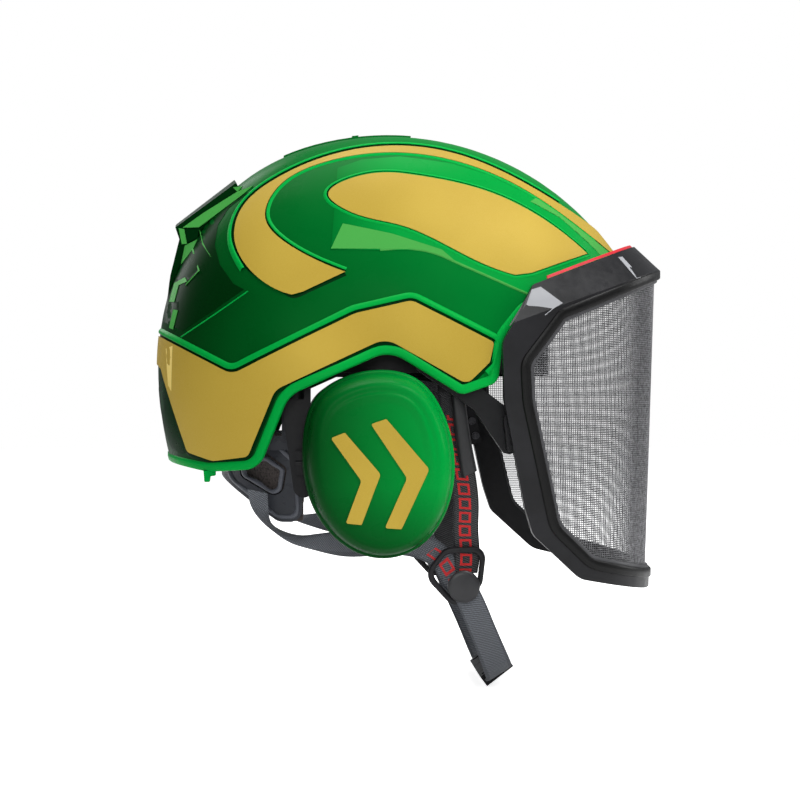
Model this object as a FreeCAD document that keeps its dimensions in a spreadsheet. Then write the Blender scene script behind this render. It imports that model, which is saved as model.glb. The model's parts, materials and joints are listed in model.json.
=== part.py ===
import FreeCAD, Part
import math
import os
import Sketcher
from FreeCAD import Placement, Rotation, Vector

# Forestry helmet, in millimetres. +X is the wearer's front, +Y the wearer's left, +Z up.
# The origin is the middle of the wearer's head at brow height, where the helmet seats.
# Pieces that come in pairs are drawn on the right side (negative Y) and mirrored.

DIMENSIONS = {
    # The dome: a superellipsoid drawn round a line through the ears.
    "dome_centre_z": -45.0,
    "dome_reach": 170.0,
    "dome_reach_drop": 32.0,
    "dome_half_width": 98.0,
    "dome_rear_widening": 10.0,
    "dome_power": 2.3,
    "shell_wall": 3.0,
    "panel_proud": 0.8,
    "panel_gap": 0.1,
    "liner_gap": 0.6,
    "liner_depth": 14.0,
    "crown_pad_depth": 5.0,
    # The headband, an ellipse in plan.
    "head_centre_x": -4.0,
    "headband_half_length": 103.0,
    "headband_half_width": 80.0,
    "headband_wall": 2.0,
    "headband_base": -22.0,
    "headband_height": 30.0,
    "brow_pad_depth": 3.6,
    # The visor.
    "visor_hinge_x": 14.0,
    "visor_hinge_z": -16.0,
    "visor_wall": 5.5,
    "visor_half_width": 103.0,
    "visor_front_x": 164.0,
    "visor_rear_x": 50.0,
    "mesh_depth": 0.5,
    "mesh_inset": 2.5,
    "arm_inner_y": 82.0,
    "arm_wall": 4.0,
    "pivot_radius": 3.0,
    "pivot_play": 0.05,
    # The ear cups.
    "cup_centre_x": -12.1,
    "cup_centre_z": -72.5,
    "cup_open_y": 93.0,
    "cup_face_y": 118.2,
    "cup_wall": 2.5,
    "backplate_wall": 4.0,
    "cushion_depth": 14.0,
    "ear_hinge_x": -58.0,
    "ear_hinge_y": 85.0,
    "ear_pin_radius": 2.5,
    "tilt_pin_radius": 1.9,
    # The nape adjuster.
    "nape_rear_x": -104.0,
    "nape_start_x": -58.0,
    "nape_half_width": 72.0,
    "nape_wall": 3.0,
    "nape_pad_depth": 4.5,
    "knob_z": -62.0,
    "knob_radius": 12.0,
    "knob_depth": 10.0,
    "pinion_tip_radius": 6.0,
    "pinion_root_radius": 4.9,
    "shaft_radius": 3.5,
    "shaft_play": 0.06,
    "notch_radius": 1.6,
    # The straps.
    "webbing_depth": 1.4,
    "button_radius": 8.2,
    "buckle_x": 63.0,
    "buckle_z": -202.0,
    "buckle_width": 20.0,
    "buckle_depth": 7.0,
    "buckle_lean": 37.0,
}

doc = FreeCAD.newDocument("ForestryHelmet")
sub_parts = []


def make_sheet():
    """The spreadsheet that holds every driving dimension."""
    sheet = doc.addObject("Spreadsheet::Sheet", "Dims")
    for row, (alias, value) in enumerate(DIMENSIONS.items(), start=1):
        sheet.set(f"A{row}", alias)
        sheet.set(f"B{row}", str(value))
        sheet.setAlias(f"B{row}", alias)
    doc.recompute()
    return sheet


dims = make_sheet()


def size(alias):
    """A driving dimension, read from the spreadsheet."""
    return float(dims.get(alias))


def sub_part(thing, label):
    """Name a document object as one physical piece of the helmet."""
    thing.Label = label
    sub_parts.append(thing)
    return thing


def shaped(label, shape):
    """A piece whose shape comes straight from Part's functions."""
    thing = doc.addObject("Part::Feature", label)
    thing.Shape = shape
    thing.Placement = Placement()
    return sub_part(thing, label)


def mirrored(thing, label):
    """The left-hand twin of a right-hand piece."""
    twin = doc.addObject("Part::Mirroring", label)
    twin.Source = thing
    twin.Normal = Vector(0, 1, 0)
    twin.Base = Vector(0, 0, 0)
    return sub_part(twin, label)


def pair(name, shape):
    """A right-hand piece with this shape and its left-hand twin."""
    right = shaped(f"{name}_right", shape)
    return right, mirrored(right, f"{name}_left")


def both_sides(shape):
    """A right-hand shape and its mirror image as one compound of two solids."""
    return Part.makeCompound([shape, shape.mirror(Vector(0, 0, 0), Vector(0, 1, 0))])


# ---------------------------------------------------------------- outlines and walls


def corner_arc(before, corner, after, radius):
    """The arc that rounds a corner, as its start, middle and end."""
    back = (before - corner).normalize()
    ahead = (after - corner).normalize()
    half_angle = back.getAngle(ahead) / 2
    run = radius / math.tan(half_angle)
    inward = (back + ahead).normalize()
    middle = corner + inward * (radius / math.sin(half_angle) - radius)
    return corner + back * run, middle, corner + ahead * run


def rounded_wire(corners, y=0.0):
    """A closed side-view outline of straight runs and arcs, from (x, z, radius) corners."""
    points = [Vector(x, y, z) for x, z, _ in corners]
    count = len(points)
    stops = []
    edges = []
    for i, (_, _, radius) in enumerate(corners):
        if radius > 0:
            start, middle, end = corner_arc(
                points[i - 1], points[i], points[(i + 1) % count], radius
            )
            edges.append(Part.Arc(start, middle, end).toShape())
            stops.append((start, end))
        else:
            edges.append(None)
            stops.append((points[i], points[i]))
    wire = []
    for i in range(count):
        if edges[i] is not None:
            wire.append(edges[i])
        wire.append(Part.makeLine(stops[i][1], stops[(i + 1) % count][0]))
    return Part.Wire(wire)


def curved_wire(curves, y=0.0):
    """A closed side-view outline: each list of (x, z) points is one smooth curve or a line."""
    edges = []
    for points in curves:
        places = [Vector(x, y, z) for x, z in points]
        if len(places) == 2:
            edges.append(Part.makeLine(places[0], places[1]))
        else:
            spline = Part.BSplineCurve()
            spline.interpolate(places)
            edges.append(spline.toShape())
    return Part.Wire(edges)


def side_prism(wire, y_low, y_high):
    """A side-view outline carried across the helmet from y_low to y_high."""
    face = Part.Face(wire)
    face.translate(Vector(0, y_low, 0))
    return face.extrude(Vector(0, y_high - y_low, 0))


def spline_surface(grid):
    surface = Part.BSplineSurface()
    surface.interpolate(grid)
    return surface.toShape()


def closed_wall(outer, inner):
    """The solid between two surfaces that are drawn on grids of the same size."""
    faces = [outer, inner]
    for edge, other in zip(outer.Edges, inner.Edges):
        faces.append(Part.makeRuledSurface(edge, other))
    shell = Part.makeShell(faces)
    shell.sewShape()
    solid = Part.makeSolid(Part.Shell(shell.Faces))
    if solid.Volume < 0:
        solid.reverse()
    return solid


def box_between(low, high):
    """A box from its lowest to its highest corner."""
    lengths = [b - a for a, b in zip(low, high)]
    return Part.makeBox(*lengths, Vector(*low))


# ---------------------------------------------------------------- the dome

DOME_LOW_ANGLE = 0
DOME_HIGH_ANGLE = 210
DOME_SIDE_ANGLE = 82


def ease(value):
    """A smooth step from 0 to 1."""
    value = min(max(value, 0.0), 1.0)
    return value * value * (3 - 2 * value)


def dome_point(over, aside, inset):
    """A point of the dome: over turns from the brow to the nape, aside towards the left ear."""
    reach = size("dome_reach") - size("dome_reach_drop") * ease((over - 110) / 85) - inset
    half = size("dome_half_width") + size("dome_rear_widening") * ease((over - 100) / 60) - inset
    power = size("dome_power")
    across = math.sin(math.radians(aside))
    along = math.cos(math.radians(aside))
    stretch = (along**power + abs(across) ** power) ** (-1 / power)
    radius = reach * along * stretch
    turn = math.radians(over)
    height = size("dome_centre_z") + radius * math.sin(turn)
    return Vector(radius * math.cos(turn), half * across * stretch, height)


def dome_surface(inset):
    """The dome moved inwards by inset."""
    overs = range(DOME_LOW_ANGLE, DOME_HIGH_ANGLE + 1, 10)
    asides = [DOME_SIDE_ANGLE * step / 12 for step in range(-12, 13)]
    return spline_surface([[dome_point(o, a, inset) for a in asides] for o in overs])


def dome_wall(outer_inset, inner_inset):
    return closed_wall(dome_surface(outer_inset), dome_surface(inner_inset))


ACROSS = 140.0
RIM = [
    (190, 160, 0),
    (-180, 160, 0),
    (-180, -66, 0),
    (-108, -78, 30),
    (-79, -75.5, 12),
    (-62.3, -34.9, 18),
    (-6.1, -9.8, 18),
    (34, -34.4, 7),
    (54.5, -27.5, 7),
    (57.8, -3, 16),
    (72, 14, 16),
    (190, 55.5, 0),
]


def make_outer_shell():
    """The shell: a dome wall cut to its rim, with a crown slot and two guide rails."""
    wall = dome_wall(0, size("shell_wall")).common(side_prism(rounded_wire(RIM), -ACROSS, ACROSS))
    slot = box_between((-48, -6, 90), (-36, 6, 140))
    rail_zone = dome_wall(-1.2, 1)
    rail = rail_zone.common(box_between((-66, -12.5, 90), (12, -10, 140)))
    rails = rail.fuse(rail.mirror(Vector(0, 0, 0), Vector(0, 1, 0)))
    return shaped("outer_shell", wall.cut(slot).fuse(rails))


def make_vent_slider():
    """The cover plate that runs between the rails over the crown slot."""
    plate = dome_wall(-1.4, -0.3).common(box_between((-52, -9.6, 90), (-8, 9.6, 140)))
    grip = dome_wall(-2.6, -1.2).common(box_between((-24, -7, 90), (-20, 7, 140)))
    return shaped("vent_slider", plate.fuse(grip))


WING = [
    (-146, 3.7, 0),
    (-93.4, -23.2, 10),
    (-25, 10.6, 20),
    (6.5, 18, 8),
    (52.6, -5.2, 2),
    (50, -16.5, 4),
    (37, -28.8, 6),
    (-8.3, -3.3, 14),
    (-69.2, -32, 10),
    (-84.5, -69, 4),
    (-105, -72, 10),
    (-120.5, -67.5, 4),
    (-138, -19, 0),
    (-150, -10, 0),
]
CRESCENT = [
    [
        (142, 60),
        (98.6, 80),
        (76.5, 92),
        (34, 109.3),
        (3, 113.2),
        (-34, 107.8),
        (-69.6, 92),
        (-89.4, 74),
        (-93.3, 56),
        (-85.4, 37.7),
        (-60, 20.9),
    ],
    [(-60, 20.9), (-54, 22.6)],
    [(-54, 22.6), (-30.5, 34)],
    [
        (-30.5, 34),
        (-64, 51.3),
        (-75.5, 66.5),
        (-69.4, 84.8),
        (-44.5, 100.6),
        (2.8, 107.9),
        (33, 103.9),
        (75.6, 87.3),
        (120, 58.7),
        (146, 44),
    ],
    [(146, 44), (142, 60)],
]
CROWN = [
    [
        (112.5, 48.5),
        (89.8, 65.6),
        (52.5, 83.6),
        (11, 92.3),
        (-24.8, 90.6),
        (-39.6, 79.8),
        (-30, 70.6),
        (0.7, 61.3),
        (49.7, 38.5),
        (66, 33.4),
    ],
    [(66, 33.4), (76, 35)],
    [(76, 35), (112.5, 48.5)],
]


def make_colour_panels():
    """The three gold panels on each side, which sit on the shell."""
    skin = dome_wall(-size("panel_proud") - size("panel_gap"), -size("panel_gap"))
    pair("decor_wing", skin.common(side_prism(rounded_wire(WING), -ACROSS, -14)))
    pair("decor_crescent", skin.common(side_prism(curved_wire(CRESCENT), -ACROSS, -0.2)))
    pair("decor_crown", skin.common(side_prism(curved_wire(CROWN), -ACROSS, 0)))


HOOD_PROFILE = [
    (-96, 97, 0),
    (-131.5, 69.3, 1.5),
    (-127.8, 58.5, 1.5),
    (-133.3, 37, 2),
    (-135.3, 24, 1),
    (-139, 18, 1),
    (-138.5, 5, 2),
    (-100, 5, 0),
    (-80, 60, 0),
]
HOOD_SLOTS = [
    [(-150, 66, 0), (-116, 63, 3), (-113, 53, 3), (-150, 48, 0)],
    [(-150, 42, 0), (-118, 43, 3), (-118, 33, 3), (-150, 28, 0)],
]


def hood_roof():
    """A long prism under the hood's hipped roof, which falls away towards both sides."""
    (top_x, top_z, _), (low_x, low_z, _) = HOOD_PROFILE[:2]
    run = Vector(low_x - top_x, 0, low_z - top_z).normalize()
    normal = Vector(run.z, 0, -run.x)
    ridge = Vector(top_x, 0, top_z) - run * 60
    section = [(-60, -160), (-60, -11), (-12, 0), (12, 0), (60, -11), (60, -160)]
    corners = [ridge + Vector(0, y, 0) + normal * rise for y, rise in section]
    return Part.Face(Part.makePolygon(corners + corners[:1])).extrude(run * 180)


def make_rear_vent_hood():
    """The louvred air outlet: a block on the dome's back with two slots across it."""
    half = 44
    block = side_prism(rounded_wire(HOOD_PROFILE), -half, half)
    corners = [(-141, -10), (-134, -27), (-60, -50), (-60, 50), (-134, 27), (-141, 10)]
    plan = [Vector(x, y, -20) for x, y in corners + corners[:1]]
    block = block.common(Part.Face(Part.makePolygon(plan)).extrude(Vector(0, 0, 140)))
    block = block.common(hood_roof())
    core = dome_surface(-0.3)
    inside = closed_wall(core, dome_surface(60))
    hood = block.cut(inside)
    for slot in HOOD_SLOTS:
        hood = hood.cut(side_prism(rounded_wire(slot), -20, 20))
    largest = max(hood.Solids, key=lambda solid: solid.Volume)
    return shaped("rear_vent_hood", largest)


def make_neck_guard_hooks():
    """A small hook under the rear rim on each side, for a neck cape."""
    outline = [
        (-110.5, -75, 0),
        (-103.5, -75, 0),
        (-103.5, -80.4, 0.5),
        (-106.4, -80.8, 0.5),
        (-106.8, -84, 0.6),
        (-109.8, -84, 0.6),
    ]
    hook = side_prism(rounded_wire(outline), -71.5, -67.5)
    hook = hook.cut(side_prism(rounded_wire(RIM), -ACROSS, ACROSS))
    shaped("neck_guard_hooks", both_sides(hook))


# ---------------------------------------------------------------- inside the shell

LINER_RIM = [
    (190, 160, 0),
    (-180, 160, 0),
    (-180, -36, 0),
    (-92, -36, 10),
    (-80, 14, 12),
    (70, 20, 20),
    (190, 58, 0),
]


LINER_JOINTS_X = (-170, -84, -42, 0, 42, 84, 180)
LINER_JOINTS_Y = (-120, -56, 0, 56, 120)
LINER_JOINT = 0.4
LINER_LEAST_SOLID = 200.0


def make_inner_liner():
    """The foam liner, moulded in segments so that it can be fitted through the rim."""
    outer = size("shell_wall") + size("liner_gap")
    wall = dome_wall(outer, size("liner_depth"))
    slot = box_between((-50, -8, 60), (-34, 8, 140))
    zone = side_prism(rounded_wire(LINER_RIM), -ACROSS, ACROSS)
    liner = wall.common(zone).cut(slot)
    segments = []
    for low_x, high_x in zip(LINER_JOINTS_X, LINER_JOINTS_X[1:]):
        for low_y, high_y in zip(LINER_JOINTS_Y, LINER_JOINTS_Y[1:]):
            cell = box_between((low_x, low_y, -60), (high_x - LINER_JOINT, high_y - LINER_JOINT, 140))
            segments += liner.common(cell).Solids
    segments = [solid for solid in segments if solid.Volume > LINER_LEAST_SOLID]
    return shaped("inner_liner", Part.makeCompound(segments))


def make_crown_pads():
    """Four soft pads under the liner."""
    outer = size("liner_depth") + 0.3
    wall = dome_wall(outer, outer + size("crown_pad_depth"))
    pads = []
    for low, high in (
        ((20, -16, 60), (78, 16, 130)),
        ((-90, -16, 40), (-50, 16, 130)),
        ((-38, 26, 60), (34, 50, 130)),
        ((-38, -50, 60), (34, -26, 130)),
    ):
        pads += wall.common(box_between(low, high)).Solids
    return shaped("crown_pads", Part.makeCompound(pads))


def head_oval(inset, low, high):
    """A solid oval, headband-shaped in plan, from height low to high."""
    oval = Part.Ellipse(
        Vector(size("head_centre_x"), 0, low),
        size("headband_half_length") - inset,
        size("headband_half_width") - inset,
    )
    return Part.Face(Part.Wire(oval.toShape())).extrude(Vector(0, 0, high - low))


def make_headband():
    low = size("headband_base")
    high = low + size("headband_height")
    ring = head_oval(0, low, high).cut(head_oval(size("headband_wall"), low - 1, high + 1))
    shaped("headband", ring)
    inset = size("headband_wall") + 0.2
    pad = head_oval(inset, low + 2, high - 2)
    pad = pad.cut(head_oval(inset + size("brow_pad_depth"), low, high))
    shaped("brow_pad", pad.common(box_between((44, -90, -60), (120, 90, 60))))


def make_headband_clips():
    """Four clips between the headband's top edge and the liner's lower edge."""
    top = size("headband_base") + size("headband_height")
    half = size("headband_half_width")
    clips = []
    for x in (-46, -20):
        clip = box_between((x, -half - 3.2, top + 0.1), (x + 12, -half + 1.6, top + 5))
        clips.append(clip)
        clips.append(clip.mirror(Vector(0, 0, 0), Vector(0, 1, 0)))
    return shaped("headband_clips", Part.makeCompound(clips))


# ---------------------------------------------------------------- the visor


def visor_level(front_x, half_width, base_z, base_x, slope, inset):
    """A U-shaped outline of the visor's wall, in a plane that rises towards the front."""
    rear = size("visor_rear_x")
    power = 2.6
    curves = []
    for shrink in (inset[0], inset[1]):
        points = []
        for step in range(-8, 9):
            angle = math.radians(90 * step / 8)
            along = abs(math.cos(angle))
            across = math.sin(angle)
            stretch = (along**power + abs(across) ** power) ** (-1 / power)
            x = rear + (front_x - shrink - rear) * along * stretch
            y = (half_width - shrink) * across * stretch
            points.append(Vector(x, y, base_z + slope * (x - base_x)))
        spline = Part.BSplineCurve()
        spline.interpolate(points)
        curves.append(spline)
    outer, inner = curves
    return Part.Wire(
        [
            outer.toShape(),
            Part.makeLine(outer.EndPoint, inner.EndPoint),
            inner.toShape(),
            Part.makeLine(inner.StartPoint, outer.StartPoint),
        ]
    )


def visor_wall(outer_inset, inner_inset):
    """The visor's curved wall: upright below, with its top edge leaning in."""
    half = size("visor_half_width")
    front = size("visor_front_x")
    inset = (outer_inset, inner_inset)
    levels = [
        visor_level(front - 5.5, half - 15, -165, 0, 0, inset),
        visor_level(front, half, 11, 78, 0.366, inset),
        visor_level(front - 16.5, half - 15, 29.5, 75.5, 0.407, inset),
    ]
    return Part.makeLoft(levels, True, True)


VISOR_OUTLINE = [
    (185, 70.5, 0),
    (75.5, 27.7, 4),
    (56.2, -5, 12),
    (57.6, -38, 40),
    (70, -98, 60),
    (75, -113.5, 10),
    (103, -139.3, 12),
    (150, -149.5, 40),
    (185, -152.5, 0),
]
VISOR_OPENING = [
    (185, 45.4, 0),
    (91.5, 8.4, 5),
    (71.8, -17.5, 8),
    (73.2, -38, 40),
    (89.5, -108, 16),
    (111, -128.5, 14),
    (185, -146, 0),
]


def make_visor():
    """The frame with its two bars and posts, the mesh in it and the red lip on the top bar."""
    outline = side_prism(rounded_wire(VISOR_OUTLINE), -ACROSS, ACROSS)
    opening = side_prism(rounded_wire(VISOR_OPENING), -ACROSS, ACROSS)
    frame = visor_wall(0, size("visor_wall")).common(outline).cut(opening)
    shaped("visor_frame", frame)
    mesh_inset = size("mesh_inset")
    mesh = visor_wall(mesh_inset, mesh_inset + size("mesh_depth")).common(opening)
    shaped("visor_mesh", mesh)
    lip_line = [(84, 31.2, 0), (170, 64.8, 0), (170, 66.6, 0), (84, 33, 0)]
    lip = visor_wall(1, 3.4).common(side_prism(rounded_wire(lip_line), -ACROSS, ACROSS))
    shaped("visor_top_seal", lip)


ARM_OUTLINE = [
    (14, -23.4, 6.5),
    (4.5, -16, 6.5),
    (16, -6.5, 6.5),
    (46, -30.5, 12),
    (62, -42.5, 3),
    (66, -69, 3),
    (59, -67.5, 3),
    (42, -42.5, 14),
]


def cylinder_across(x, z, y_low, y_high, radius):
    """A cylinder along Y."""
    return Part.makeCylinder(radius, y_high - y_low, Vector(x, y_low, z), Vector(0, 1, 0))


def make_visor_arms():
    """The flat arms inside the shell, stepped out to the frame's posts, and their screws."""
    inner = size("arm_inner_y")
    outer = inner + size("arm_wall")
    hinge_x = size("visor_hinge_x")
    hinge_z = size("visor_hinge_z")
    plate = side_prism(rounded_wire(ARM_OUTLINE), -outer, -inner)
    hole = cylinder_across(hinge_x, hinge_z, -120, 0, size("pivot_radius") + size("pivot_play"))
    step_line = [(58, -46, 2), (64, -46, 2), (68.5, -68, 2), (60.5, -66.5, 2)]
    step = side_prism(rounded_wire(step_line), -110, -inner - 0.5)
    step = step.cut(visor_solid_side())
    arm = plate.cut(hole).fuse(step)
    screws = visor_screw_group()
    arm = arm.cut(screws)
    pair("visor_arm", max(arm.Solids, key=lambda solid: solid.Volume))
    shaped("visor_screws", both_sides(screws))


def visor_solid_side():
    """Everything outside the inner face of the visor's wall, on the right side."""
    return visor_wall(-40, size("visor_wall")).common(box_between((0, -200, -170), (120, 0, 60)))


def visor_screw_group():
    """Two screws from inside each arm's step, towards the post."""
    screws = []
    for x, z in ((61.6, -52), (64, -62)):
        head = cylinder_across(x, z, -84, -81, 2.6)
        shank = cylinder_across(x, z, -90, -84, 1.3)
        screws.append(head.fuse(shank))
    return Part.makeCompound(screws)


def make_visor_pivots():
    """A boss inside the shell on each side and the pin that the arm turns on."""
    hinge_x = size("visor_hinge_x")
    hinge_z = size("visor_hinge_z")
    inner = size("arm_inner_y")
    outer = inner + size("arm_wall")
    inside = closed_wall(dome_surface(size("shell_wall")), dome_surface(60))
    boss = cylinder_across(hinge_x, hinge_z, -100, -outer - 0.4, 5.2).common(inside)
    shank = size("pivot_radius")
    boss = boss.cut(cylinder_across(hinge_x, hinge_z, -outer - 6, -outer, shank))
    shaped("visor_bosses", both_sides(boss))
    pin = cylinder_across(hinge_x, hinge_z, -outer - 6, -inner + 0.4, shank)
    head = cylinder_across(hinge_x, hinge_z, -inner + 0.4, -inner + 2.2, 5.0)
    shaped("visor_pivot_pins", both_sides(pin.fuse(head)))


# ---------------------------------------------------------------- the ear cups

CUP_OUTLINE = [
    (-12.0, -20.8),
    (8.0, -25.2),
    (24.0, -45.7),
    (29.9, -74.0),
    (25.0, -99.5),
    (8.0, -120.0),
    (-12.0, -124.8),
    (-33.5, -116.0),
    (-50.0, -93.0),
    (-54.2, -62.0),
    (-46.2, -34.8),
    (-31.0, -24.6),
]
CHEVRONS = [
    [
        (-39, -58, 1),
        (-31.5, -55, 1),
        (-12.2, -77.4, 3),
        (-22.5, -104.6, 1),
        (-31, -103.7, 1),
        (-22.6, -81, 3),
    ],
    [
        (-17.5, -50.5, 1),
        (-9.2, -47.7, 1),
        (14, -74.8, 3),
        (-1, -107, 1),
        (-10, -106.4, 1),
        (2, -79.6, 3),
    ],
]


def cup_wire(y, shrink):
    """The cup's outline at a distance y from mid-plane, drawn in towards its centre by shrink."""
    centre = Vector(size("cup_centre_x"), y, size("cup_centre_z"))
    points = []
    for x, z in CUP_OUTLINE:
        spoke = Vector(x, y, z) - centre
        points.append(centre + spoke * ((spoke.Length - shrink) / spoke.Length))
    spline = Part.BSplineCurve()
    spline.interpolate(points, True)
    return Part.Wire(spline.toShape())


def cup_block(levels):
    """A solid through outlines at (distance from mid-plane, shrink) levels on the right side."""
    return Part.makeLoft([cup_wire(-y, shrink) for y, shrink in levels], True, False)


def cup_slab(near_y, far_y, shrink):
    face = Part.Face(cup_wire(-far_y, shrink))
    return face.extrude(Vector(0, far_y - near_y, 0))


def make_cups():
    """Cup, inlays, backplate, foam and sealing cushion on each side."""
    open_y = size("cup_open_y")
    face_y = size("cup_face_y")
    wall = size("cup_wall")
    rise = face_y - open_y
    outer = cup_block(
        [
            (open_y, 1.5),
            (open_y + 0.25 * rise, 0),
            (open_y + 0.6 * rise, 1.2),
            (open_y + 0.87 * rise, 6.5),
            (face_y, 14),
        ]
    )
    inner = cup_block(
        [
            (open_y - 1, 1.5 + wall),
            (open_y + 0.25 * rise, wall),
            (open_y + 0.55 * rise, wall + 1.5),
            (face_y - 1.7 * wall, 9),
            (face_y - wall, 15),
        ]
    )
    pair("cup_shell", outer.cut(inner))
    arrows = []
    for corners in CHEVRONS:
        low = -face_y - size("panel_proud")
        arrow = side_prism(rounded_wire(corners), low, -face_y + 8).cut(outer)
        arrows.append(max(arrow.Solids, key=lambda solid: solid.Volume))
    pair("cup_chevrons", Part.makeCompound(arrows))
    plate = cup_slab(open_y - size("backplate_wall"), open_y - 0.02, 4.2)
    plate = plate.cut(cup_slab(0, open_y + 1, 19))
    bore = Part.makeCylinder(
        size("tilt_pin_radius") + size("pivot_play"),
        9,
        Vector(-51, -open_y + size("backplate_wall") / 2, size("cup_centre_z")),
        Vector(1, 0, 0),
    )
    socket = box_between((-48.5, -93, -79), (-36, -86, -66))
    plate = plate.fuse(socket.common(cup_slab(0, 120, 4.2)))
    pair("cup_backplate", plate.cut(bore).removeSplitter())
    cushion_y = open_y - size("backplate_wall")
    pad = cup_block(
        [
            (cushion_y - 0.1, 7.5),
            (cushion_y - 4, 6.3),
            (cushion_y - 10, 6.8),
            (cushion_y - size("cushion_depth"), 11),
        ]
    )
    keep_out = box_between((-51, -93, -80.5), (-34, -85.6, -64.5))
    pair("ear_cushion", pad.cut(cup_slab(0, 120, 21)).cut(keep_out))
    pair("cup_foam", cup_slab(open_y + 8, open_y + 17, 16))


EAR_BAR = [
    (-63, -26.5, 3),
    (-49.6, -26.5, 3),
    (-49.6, -60, 20),
    (-49.2, -92, 4),
    (-58.5, -92, 6),
    (-64.5, -50, 30),
]


def make_ear_arms():
    """The upright bar that carries each cup, its door hinge in the shell and its tilt pin."""
    hinge_x = size("ear_hinge_x")
    hinge_y = size("ear_hinge_y")
    pin = size("ear_pin_radius")
    play = size("pivot_play")
    bar = side_prism(rounded_wire(EAR_BAR), -hinge_y - 2.6, -hinge_y + 2.6)
    knuckle = Part.makeCylinder(5.2, 14, Vector(hinge_x, -hinge_y, -37), Vector(0, 0, 1))
    hole = Part.makeCylinder(pin + play, 16, Vector(hinge_x, -hinge_y, -38), Vector(0, 0, 1))
    slot = Part.makeCylinder(pin + play, 3, Vector(hinge_x, -hinge_y, -40.5), Vector(0, 0, 1))
    bar_y = -size("cup_open_y") + size("backplate_wall") / 2
    lug = box_between((-58, bar_y - 1.2, -79), (-50.7, -hinge_y, -66))
    stub = Part.makeCylinder(
        size("tilt_pin_radius"), 14, Vector(-58, bar_y, size("cup_centre_z")), Vector(1, 0, 0)
    )
    arm = bar.fuse([knuckle, lug, stub]).cut(hole.fuse(slot))
    pair("ear_arm", arm.removeSplitter())
    inside = closed_wall(dome_surface(size("shell_wall")), dome_surface(60))
    bracket = box_between((-64, -110, -22.4), (-52, -hinge_y + 5.5, -15.4))
    bracket = bracket.common(inside)
    bracket = bracket.cut(Part.makeCylinder(pin, 20, Vector(hinge_x, -hinge_y, -30)))
    shaped("ear_brackets", both_sides(bracket))
    shank = Part.makeCylinder(pin, 25, Vector(hinge_x, -hinge_y, -40), Vector(0, 0, 1))
    head = Part.makeCylinder(pin + 1.5, 1.5, Vector(hinge_x, -hinge_y, -15.3), Vector(0, 0, 1))
    shaped("ear_hinge_pins", both_sides(shank.fuse(head)))


# ---------------------------------------------------------------- the nape adjuster

CRADLE_SIDE = [
    (-54.5, -72, 4),
    (-70, -58, 6),
    (-125, -58, 0),
    (-125, -70, 0),
    (-104, -82, 20),
    (-68, -107, 8),
    (-54.5, -107, 7),
]
CRADLE_RECESS = [(-63, -76, 4), (-76, -67, 4), (-92, -72, 5), (-90, -82, 4), (-66, -95, 6)]


def nape_plan(inset, low, high):
    """A solid U in plan round the nape, moved inwards by inset."""
    start = size("nape_start_x") + 8
    depth = start - size("nape_rear_x") - inset
    half = size("nape_half_width") - inset
    points = []
    for step in range(-8, 9):
        angle = math.radians(90 * step / 8)
        along = abs(math.cos(angle))
        across = math.sin(angle)
        stretch = (along**2.4 + abs(across) ** 2.4) ** (-1 / 2.4)
        points.append(Vector(start - depth * along * stretch, half * across * stretch, low))
    spline = Part.BSplineCurve()
    spline.interpolate(points)
    wire = Part.Wire([spline.toShape(), Part.makeLine(spline.EndPoint, spline.StartPoint)])
    return Part.Face(wire).extrude(Vector(0, 0, high - low))


def nape_wall(outer_inset, inner_inset, outline):
    wall = nape_plan(outer_inset, -130, -40).cut(nape_plan(inner_inset, -131, -39))
    return wall.common(side_prism(rounded_wire(outline), -ACROSS, ACROSS))


BAND_LOW = -66.0
BAND_HIGH = -58.0


def make_nape_cradle():
    """The cradle with its guide loops for the bands, and the textile pad inside it."""
    wall = nape_wall(0, size("nape_wall"), CRADLE_SIDE)
    hole = side_prism(rounded_wire(CRADLE_RECESS), -ACROSS, -40)
    wall = wall.cut(hole).cut(hole.mirror(Vector(0, 0, 0), Vector(0, 1, 0)))
    half = size("nape_half_width")
    for side in (-1, 1):
        near = side * (half - 12.5)
        far = side * (half + 5)
        low_y, high_y = sorted((near, far))
        loop = box_between((-87, low_y, BAND_LOW - 1.6), (-82, high_y, BAND_HIGH + 1.6))
        slot_low, slot_high = sorted((side * (half + 0.1), side * (half + 3.2)))
        window = box_between((-88, slot_low, BAND_LOW - 0.3), (-81, slot_high, BAND_HIGH + 0.3))
        wall = wall.fuse(loop).cut(window)
    shaped("nape_cradle", max(wall.Solids, key=lambda solid: solid.Volume))
    pad_side = [(x + (3 if x > -60 else 0), z + (2 if z > -80 else -2), r) for x, z, r in CRADLE_SIDE]
    inset = size("nape_wall") + 0.2
    shaped("nape_pad", nape_wall(inset, inset + size("nape_pad_depth"), pad_side))


def make_rack_bands():
    """The headband's tails: a drop beside the head, then a straight toothed band to the rear."""
    half = size("nape_half_width")
    outer = -half - 2.9
    inner = -half - 0.4
    run = box_between((-96, outer, BAND_LOW), (-58, inner, BAND_HIGH))
    for step in range(8):
        x = -94 + 3 * step
        gap = box_between((x, outer - 1, BAND_LOW - 1), (x + 1.5, outer + 0.8, BAND_LOW + 2))
        run = run.cut(gap)
    drop = box_between((-66, outer, BAND_HIGH), (-58, inner, -14))
    root = box_between((-66, outer, -21), (-58, -50, -14)).cut(head_oval(0, -40, 20))
    root = max(root.Solids, key=lambda solid: solid.Volume)
    shaped("rack_bands", both_sides(run.fuse([drop, root])))


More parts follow.
